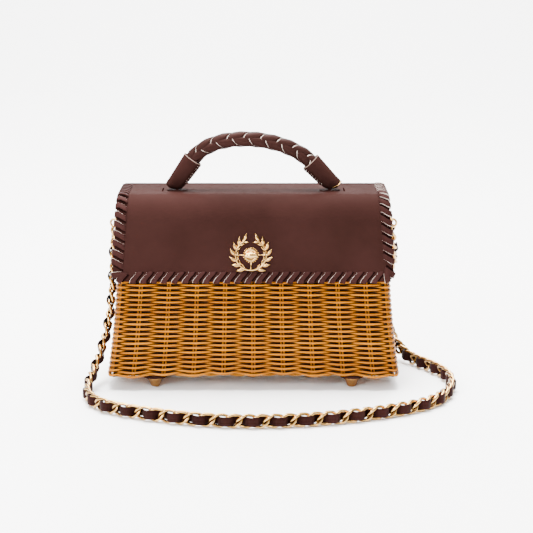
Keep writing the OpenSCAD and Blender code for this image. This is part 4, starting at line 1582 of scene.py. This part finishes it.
    def sleeve_rims(self) -> None:
        """Builds the pale cut edge round each sleeve's rim."""
        bm = new_bmesh()
        sides = 10
        ring = [(self.rim_r - self.rim_in + self.rim_wire * math.cos(a), self.rim_wire * math.sin(a))
                for a in (k * math.tau / sides for k in range(sides + 1))]
        for side in Side:
            spin_profile(bm, ring, self.along_sleeve(side, self.rim_at(side)), 48)
        make_piece(bm, "sleeve_rims", self.finishes.rim, Body.HANDLE, Slot.LEATHER)

    def seam_stitch(self, bm: Shape, side: Side, run: float) -> None:
        """Adds one whip stitch on the underside of a sleeve.

        Args:
            bm: The bmesh that takes the stitch.
            side: The sleeve's side.
            run: The stitch's distance along the sleeve from its pivot.
        """
        axis = self.sleeve_dir(side)
        under = Vector((-side.value * axis.z, 0, side.value * axis.x))
        r = mix(self.end_r, self.rim_r, run / self.sleeve_len)

        def place(u: float, v: float) -> Vector:
            """Returns a point of the stitch's skin."""
            angle, turn = math.radians(mix(-self.seam_half, self.seam_half, u)), math.tau * v
            lift = self.seam_lift + self.seam_bow * math.sin(math.pi * u) + self.seam_t / 2 * math.cos(turn)
            along = run + self.seam_w / 2 * math.sin(turn) + self.seam_slant * (u - 0.5)
            return self.pivot(side) + along * axis + (r + lift) * swung(angle, under, BACK)

        form_grid(bm, 8, 8, place)

    def seams(self) -> None:
        """Builds the whip stitches along the underside of each sleeve."""
        bm = new_bmesh()
        first, last = 4.5, self.sleeve_len - 1.5
        for side in Side:
            for i in range(self.seam_stitches):
                self.seam_stitch(bm, side, mix(first, last, i / (self.seam_stitches - 1)))
        weld(bm)
        cap(bm)
        make_piece(bm, "sleeve_seams", self.finishes.lace, Body.HANDLE, Slot.LEATHER)

    def end_arc(self) -> None:
        """Builds the thin gilt arc round the outer end of the right sleeve."""
        bm = new_bmesh()
        axis = self.sleeve_dir(Side.RIGHT)
        outer = Vector((axis.z, 0, -axis.x))
        first, last = -32.0, 92.0

        def place(u: float, v: float) -> Vector:
            """Returns a point of the arc's skin."""
            angle = math.radians(mix(first, last, u))
            way = math.sin(angle) * outer - math.cos(angle) * BACK
            off = (self.arc_in - self.sleeve_tail) * axis + self.arc_r * way
            off = self.held(off, self.swing_r - self.arc_room)
            return self.pivot(Side.RIGHT) + off + self.arc_wire * swung(math.tau * v, way, axis)

        form_tube(bm, 28, 8, place)
        make_piece(bm, "sleeve_end_arc", self.finishes.gilt, Body.HANDLE, Slot.GILT)

    def slot(self, bm: Shape, side: Side) -> None:
        """Adds the painted shade of the slot in the lid outboard of a mount.

        Args:
            bm: The bmesh that takes the slot.
            side: The mount's side.
        """
        front, back = -9.0, 13.0

        def place(u: float, v: float) -> Vector:
            """Returns a point of the slot's thin face."""
            half = self.slot_w / 2 * math.sin(math.pi * u) ** 0.3
            x = side.value * self.slot_x + half * (2 * v - 1)
            return Vector((x, mix(front, back, u), self.plan.lid_top_z + self.slot_lift))

        form_grid(bm, 12, 2, place)

    def slots(self) -> None:
        """Builds the painted shade of both mounts' slots."""
        bm = new_bmesh()
        for side in Side:
            self.slot(bm, side)
        weld(bm)
        make_piece(bm, "mount_slot_shades", self.finishes.painted_shade, Body.LID, Slot.LEATHER, sheet=True)

    def build(self) -> None:
        """Builds every piece of the handle."""
        self.grip()
        self.sleeves()
        self.sleeve_rims()
        self.seams()
        self.end_arc()
        self.slots()


# The clasp


@dataclass
class Clasp(Maker):
    """The gilt wreath with its boss, and the turn knob."""

    stem_r: float = 13.6
    stem_wire: float = 1.0
    gap: float = math.radians(26.0)
    leaf_pairs: int = 7
    leaf_first: float = -68.0
    leaf_last: float = 58.0
    leaf_len: float = 8.6
    leaf_w: float = 3.6
    leaf_rise: float = 1.5
    leaf_tip: float = 0.7
    leaf_lift: float = 0.45
    inner_leaf: float = 0.66
    leaf_turn: float = math.radians(34.0)
    berry_r: float = 0.75
    berry_past: float = 0.10
    boss_r: float = 6.4
    spoke_r: float = 0.75
    spoke_waist: float = 0.35
    spoke_flat: float = 0.8
    spoke_z: float = 0.9
    spoke_in: float = 0.8
    beads: int = 20
    bead_r: float = 0.62
    barrel_z: float = 6.4
    barrel_flat: float = 0.72

    def leaf(self, bm: Shape, matrix: Matrix, scale: float) -> None:
        """Adds a domed leaf with a midrib.

        Args:
            bm: The bmesh that takes the leaf.
            matrix: The leaf's frame: X along it, Z out of the clasp.
            scale: The leaf's size against the outer leaves.
        """
        length, width = self.leaf_len * scale, self.leaf_w * scale

        def place(u: float, v: float) -> Vector:
            """Returns a point of the leaf's skin."""
            half = width / 2 * math.sin(math.pi * u ** 0.85) ** 0.8
            turn = math.tau * v
            rise = self.leaf_rise * math.sin(math.pi * clamp(0.08 + 0.84 * u)) + self.leaf_tip * u * u
            ridge = rise * (1 - 0.75 * abs(math.cos(turn))) if math.sin(turn) > 0 else 0.0
            return matrix @ Vector((length * u, half * math.cos(turn), self.leaf_lift + ridge))

        form_grid(bm, 10, 12, place)

    def stem(self, bm: Shape, base: Matrix) -> None:
        """Adds the wreath's round stem, open at the top.

        Args:
            bm: The bmesh that takes the stem.
            base: The clasp's frame.
        """
        first, last = math.pi / 2 + self.gap, math.pi * 5 / 2 - self.gap

        def place(u: float, v: float) -> Vector:
            """Returns a point of the stem's skin."""
            angle, turn = mix(first, last, u), math.tau * v
            r = self.stem_r + self.stem_wire * math.cos(turn)
            z = self.stem_wire + self.stem_wire * math.sin(turn)
            return base @ Vector((r * math.cos(angle), r * math.sin(angle), z))

        form_grid(bm, 64, 8, place)

    def branch(self, bm: Shape, base: Matrix) -> None:
        """Adds the leaves and berries of one side.

        Args:
            bm: The bmesh that takes them.
            base: The clasp's frame, mirrored for the left side.
        """
        for i in range(self.leaf_pairs):
            angle = math.radians(mix(self.leaf_first, self.leaf_last, i / (self.leaf_pairs - 1)))
            at = base @ Matrix.Rotation(angle, 4, "Z") @ Matrix.Translation((self.stem_r, 0, 0))
            self.leaf(bm, at @ Matrix.Rotation(math.pi / 2 - self.leaf_turn, 4, "Z"), 1.0)
            self.leaf(bm, at @ Matrix.Rotation(math.pi / 2 + self.leaf_turn, 4, "Z"), self.inner_leaf)
            turn = Matrix.Rotation(angle + self.berry_past, 4, "Z")
            berry = base @ turn @ Matrix.Translation((self.stem_r + 0.4, 0, 1.9))
            bmesh.ops.create_uvsphere(bm, u_segments=8, v_segments=6, radius=self.berry_r, matrix=berry)

    def spoke(self, bm: Shape, matrix: Matrix) -> None:
        """Adds a waisted spoke from the boss to the stem.

        Args:
            bm: The bmesh that takes the spoke.
            matrix: The spoke's frame: X along it, Z out of the clasp.
        """
        def place(u: float, v: float) -> Vector:
            """Returns a point of the spoke's skin."""
            turn = math.tau * v
            thick = self.spoke_r + self.spoke_waist * math.cos(math.tau * u)
            along = mix(self.boss_r - self.spoke_in, self.stem_r, u)
            z = self.spoke_z + self.spoke_flat * thick * math.sin(turn)
            return matrix @ Vector((along, thick * math.cos(turn), z))

        form_grid(bm, 10, 8, place)

    def wreath(self) -> None:
        """Builds the wreath with its stem, leaves, berries, spokes and beaded boss."""
        bm = new_bmesh()
        base = self.plan.clasp_matrix()
        self.stem(bm, base)
        for side in Side:
            self.branch(bm, base @ Matrix.Scale(side.value, 4, (1, 0, 0)))
        for angle in (0.0, math.pi, -math.pi / 2):
            self.spoke(bm, base @ Matrix.Rotation(angle, 4, "Z"))
        weld(bm)
        cap(bm)
        r = self.boss_r
        boss = [(0, 0.02), (r, 0.02), (r + 0.3, 0.5), (r + 0.1, 1.2), (r - 0.5, 1.6), (r - 0.8, 2.3),
                (r - 0.5, 2.8), (r - 0.8, 3.2), (r - 1.5, 3.2), (r - 2.2, 2.9), (r - 4.2, 3.1), (0, 3.1)]
        spin_profile(bm, boss, base, 40)
        for k in range(self.beads):
            turn = Matrix.Rotation(math.tau * k / self.beads, 4, "Z")
            bead = base @ turn @ Matrix.Translation((r + 0.1, 0, 1.4))
            bmesh.ops.create_uvsphere(bm, u_segments=8, v_segments=6, radius=self.bead_r, matrix=bead)
        make_piece(bm, "clasp_leaves", self.finishes.clasp_gilt, Body.LID, Slot.GILT, ["clasp_wreath"])

    def knob(self) -> None:
        """Builds the turn knob's barrel on its spindle and collar."""
        bm = new_bmesh()
        base = self.plan.clasp_matrix()
        spindle = [(0, -16.5), (2.0, -16.5), (2.0, 3.4), (3.2, 3.5), (3.3, 4.2), (3.0, 4.9), (0, 4.9)]
        spin_profile(bm, spindle, base)
        half = [(2.6, 0.8), (2.45, 2.0), (2.2, 2.4), (2.3, 3.0), (2.0, 4.3), (1.5, 5.3), (0.9, 5.8),
                (0, 5.9)]
        barrel = [(r, -h) for r, h in reversed(half)] + half
        lying = Matrix.Translation((0, 0, self.barrel_z)) @ Matrix.Rotation(math.pi / 2, 4, "Y")
        spin_profile(bm, barrel, base @ lying @ Matrix.Diagonal((self.barrel_flat, 1.0, 1.0, 1.0)))
        make_piece(bm, "knob_barrel", self.finishes.gilt, Body.KNOB, Slot.GILT, ["turn_knob"])

    def build(self) -> None:
        """Builds every piece of the clasp."""
        self.wreath()
        self.knob()


# The feet


@dataclass
class Feet(Maker):
    """The turned brass feet."""

    foot_x: float = 90.0
    foot_y: float = 42.0

    def build(self) -> None:
        """Builds the four feet as one turned shape each."""
        profile = [(0, 0.0), (2.5, 0.0), (3.5, 0.3), (4.2, 1.1), (4.8, 2.6), (5.8, 5.4), (6.3, 6.8),
                   (6.45, 7.1), (7.1, 7.3), (7.4, 7.9), (7.3, 8.8), (6.9, 9.4), (0, 9.45)]
        for y, depth in ((-self.foot_y, "front"), (self.foot_y, "back")):
            for side in Side:
                bm = new_bmesh()
                spin_profile(bm, profile, Matrix.Translation((side.value * self.foot_x, y, 0)), 40)
                name = f"{depth}_{side.name.lower()}"
                make_piece(bm, f"brass_foot_{name}", self.finishes.brass, Body.BASKET, Slot.GILT,
                           [f"foot_{name}"])


# The studio


@dataclass
class Studio:
    """The camera, the lights and the pale floor, in metres."""

    camera_at: Point = (0.012, -1.5, 0.422)
    pitch: float = math.radians(78.0)
    lens: float = 111.44
    sensor: float = 36.0
    floor_half_w: float = 5.0
    floor_front: float = -4.0
    floor_back: float = 5.0
    sweep_from: float = 2.5
    sweep_rise: float = 0.35
    floor_colour: Colour = (0.94, 0.935, 0.93, 1.0)
    floor_rough: float = 0.55
    sky_colour: Colour = (1.0, 0.995, 0.99, 1.0)

    def camera(self) -> None:
        """Adds the camera at the photograph's viewing angle."""
        data = bpy.data.cameras.new("Camera")
        data.lens, data.sensor_width = self.lens, self.sensor
        camera = bpy.data.objects.new("Camera", data)
        camera.location = self.camera_at
        camera.rotation_euler = (self.pitch, 0.0, 0.0)
        bpy.context.scene.collection.objects.link(camera)
        bpy.context.scene.camera = camera

    @staticmethod
    def light(name: str, at: Point, aim: Point, size: tuple[float, float], watts: float) -> None:
        """Adds a soft box.

        Args:
            name: The light's name.
            at: Its place.
            aim: The point that it faces.
            size: Its width and height.
            watts: Its power.
        """
        data = bpy.data.lights.new(name, "AREA")
        data.shape, data.size, data.size_y, data.energy = "RECTANGLE", size[0], size[1], watts
        lamp = bpy.data.objects.new(name, data)
        lamp.location = at
        lamp.rotation_euler = (Vector(aim) - Vector(at)).to_track_quat("-Z", "Y").to_euler()
        bpy.context.scene.collection.objects.link(lamp)

    def floor(self) -> None:
        """Adds the pale floor, which sweeps up behind the bag."""
        bm = new_bmesh()

        def place(u: float, v: float) -> Vector:
            """Returns a point of the floor."""
            y = mix(self.floor_front, self.floor_back, v)
            rise = max(0.0, y - self.sweep_from)
            return Vector((mix(-self.floor_half_w, self.floor_half_w, u), y, self.sweep_rise * rise * rise))

        form_grid(bm, 4, 48, place)
        mesh = bpy.data.meshes.new("floor")
        bm.to_mesh(mesh)
        bm.free()
        mesh.shade_smooth()
        floor = bpy.data.objects.new("floor", mesh)
        net = MaterialNet("Pale floor")
        mesh.materials.append(net.dress({"Base Color": self.floor_colour, "Roughness": self.floor_rough}))
        bpy.context.scene.collection.objects.link(floor)

    def surroundings(self) -> None:
        """Adds the pale surroundings, brighter overhead."""
        world = bpy.data.worlds.new("Surroundings")
        world.use_nodes = True
        net = Net(world.node_tree)
        way = net.node("ShaderNodeTexCoord").outputs["Generated"]
        up = net.node("ShaderNodeSeparateXYZ", {0: way}).outputs["Z"]
        strength = net.remap(up, 0.05, 0.75, 0.25, 1.7)
        sky = net.node("ShaderNodeBackground", {"Color": self.sky_colour, "Strength": strength})
        net.node("ShaderNodeOutputWorld", {"Surface": sky.outputs[0]})
        bpy.context.scene.world = world

    def stage(self) -> None:
        """Adds the floor, the surroundings and the lights."""
        self.floor()
        self.surroundings()
        self.light("Top box", (-0.1, 0.15, 1.9), (0, 0, 0.0), (1.2, 0.9), 215.0)
        self.light("Back box", (0.0, 2.4, 2.6), (0, 2.4, 0.0), (3.6, 2.4), 520.0)
        self.light("Front box", (-0.9, -1.8, 1.0), (0, 0, 0.1), (0.7, 0.7), 66.0)


# The kept CAD pieces


def dress_nodes(nodes: dict[str, Piece], finishes: Finishes) -> None:
    """Gives the CAD nodes their materials.

    Args:
        nodes: The CAD nodes by name.
        finishes: The bag's materials.
    """
    leather = ("back_panel", "foot_pad", "anchor_tab", "handle_sleeve", "handle_mount")
    for name, node in nodes.items():
        if name == "lining":
            material = finishes.lining
        elif name.startswith(leather):
            material = finishes.leather
        else:
            material = finishes.gilt
        node.data.materials.clear()
        node.data.materials.append(material)


def main() -> None:
    """Builds the bag's pieces in order and reports each."""
    logging.basicConfig(level=logging.INFO, format="%(message)s")
    for old in list(bpy.data.objects):
        bpy.data.objects.remove(old)
    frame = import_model()
    plan, finishes, studio = BagPlan(), Finishes(), Studio()
    studio.camera()
    dress_nodes(frame["nodes"], finishes)
    Strap(plan, finishes).build(frame["nodes"])
    Basket(plan, finishes).build()
    Flap(plan, finishes).build()
    Handle(plan, finishes).build()
    Clasp(plan, finishes).build()
    Feet(plan, finishes).build()
    studio.stage()


if __name__ == "__main__":
    main()
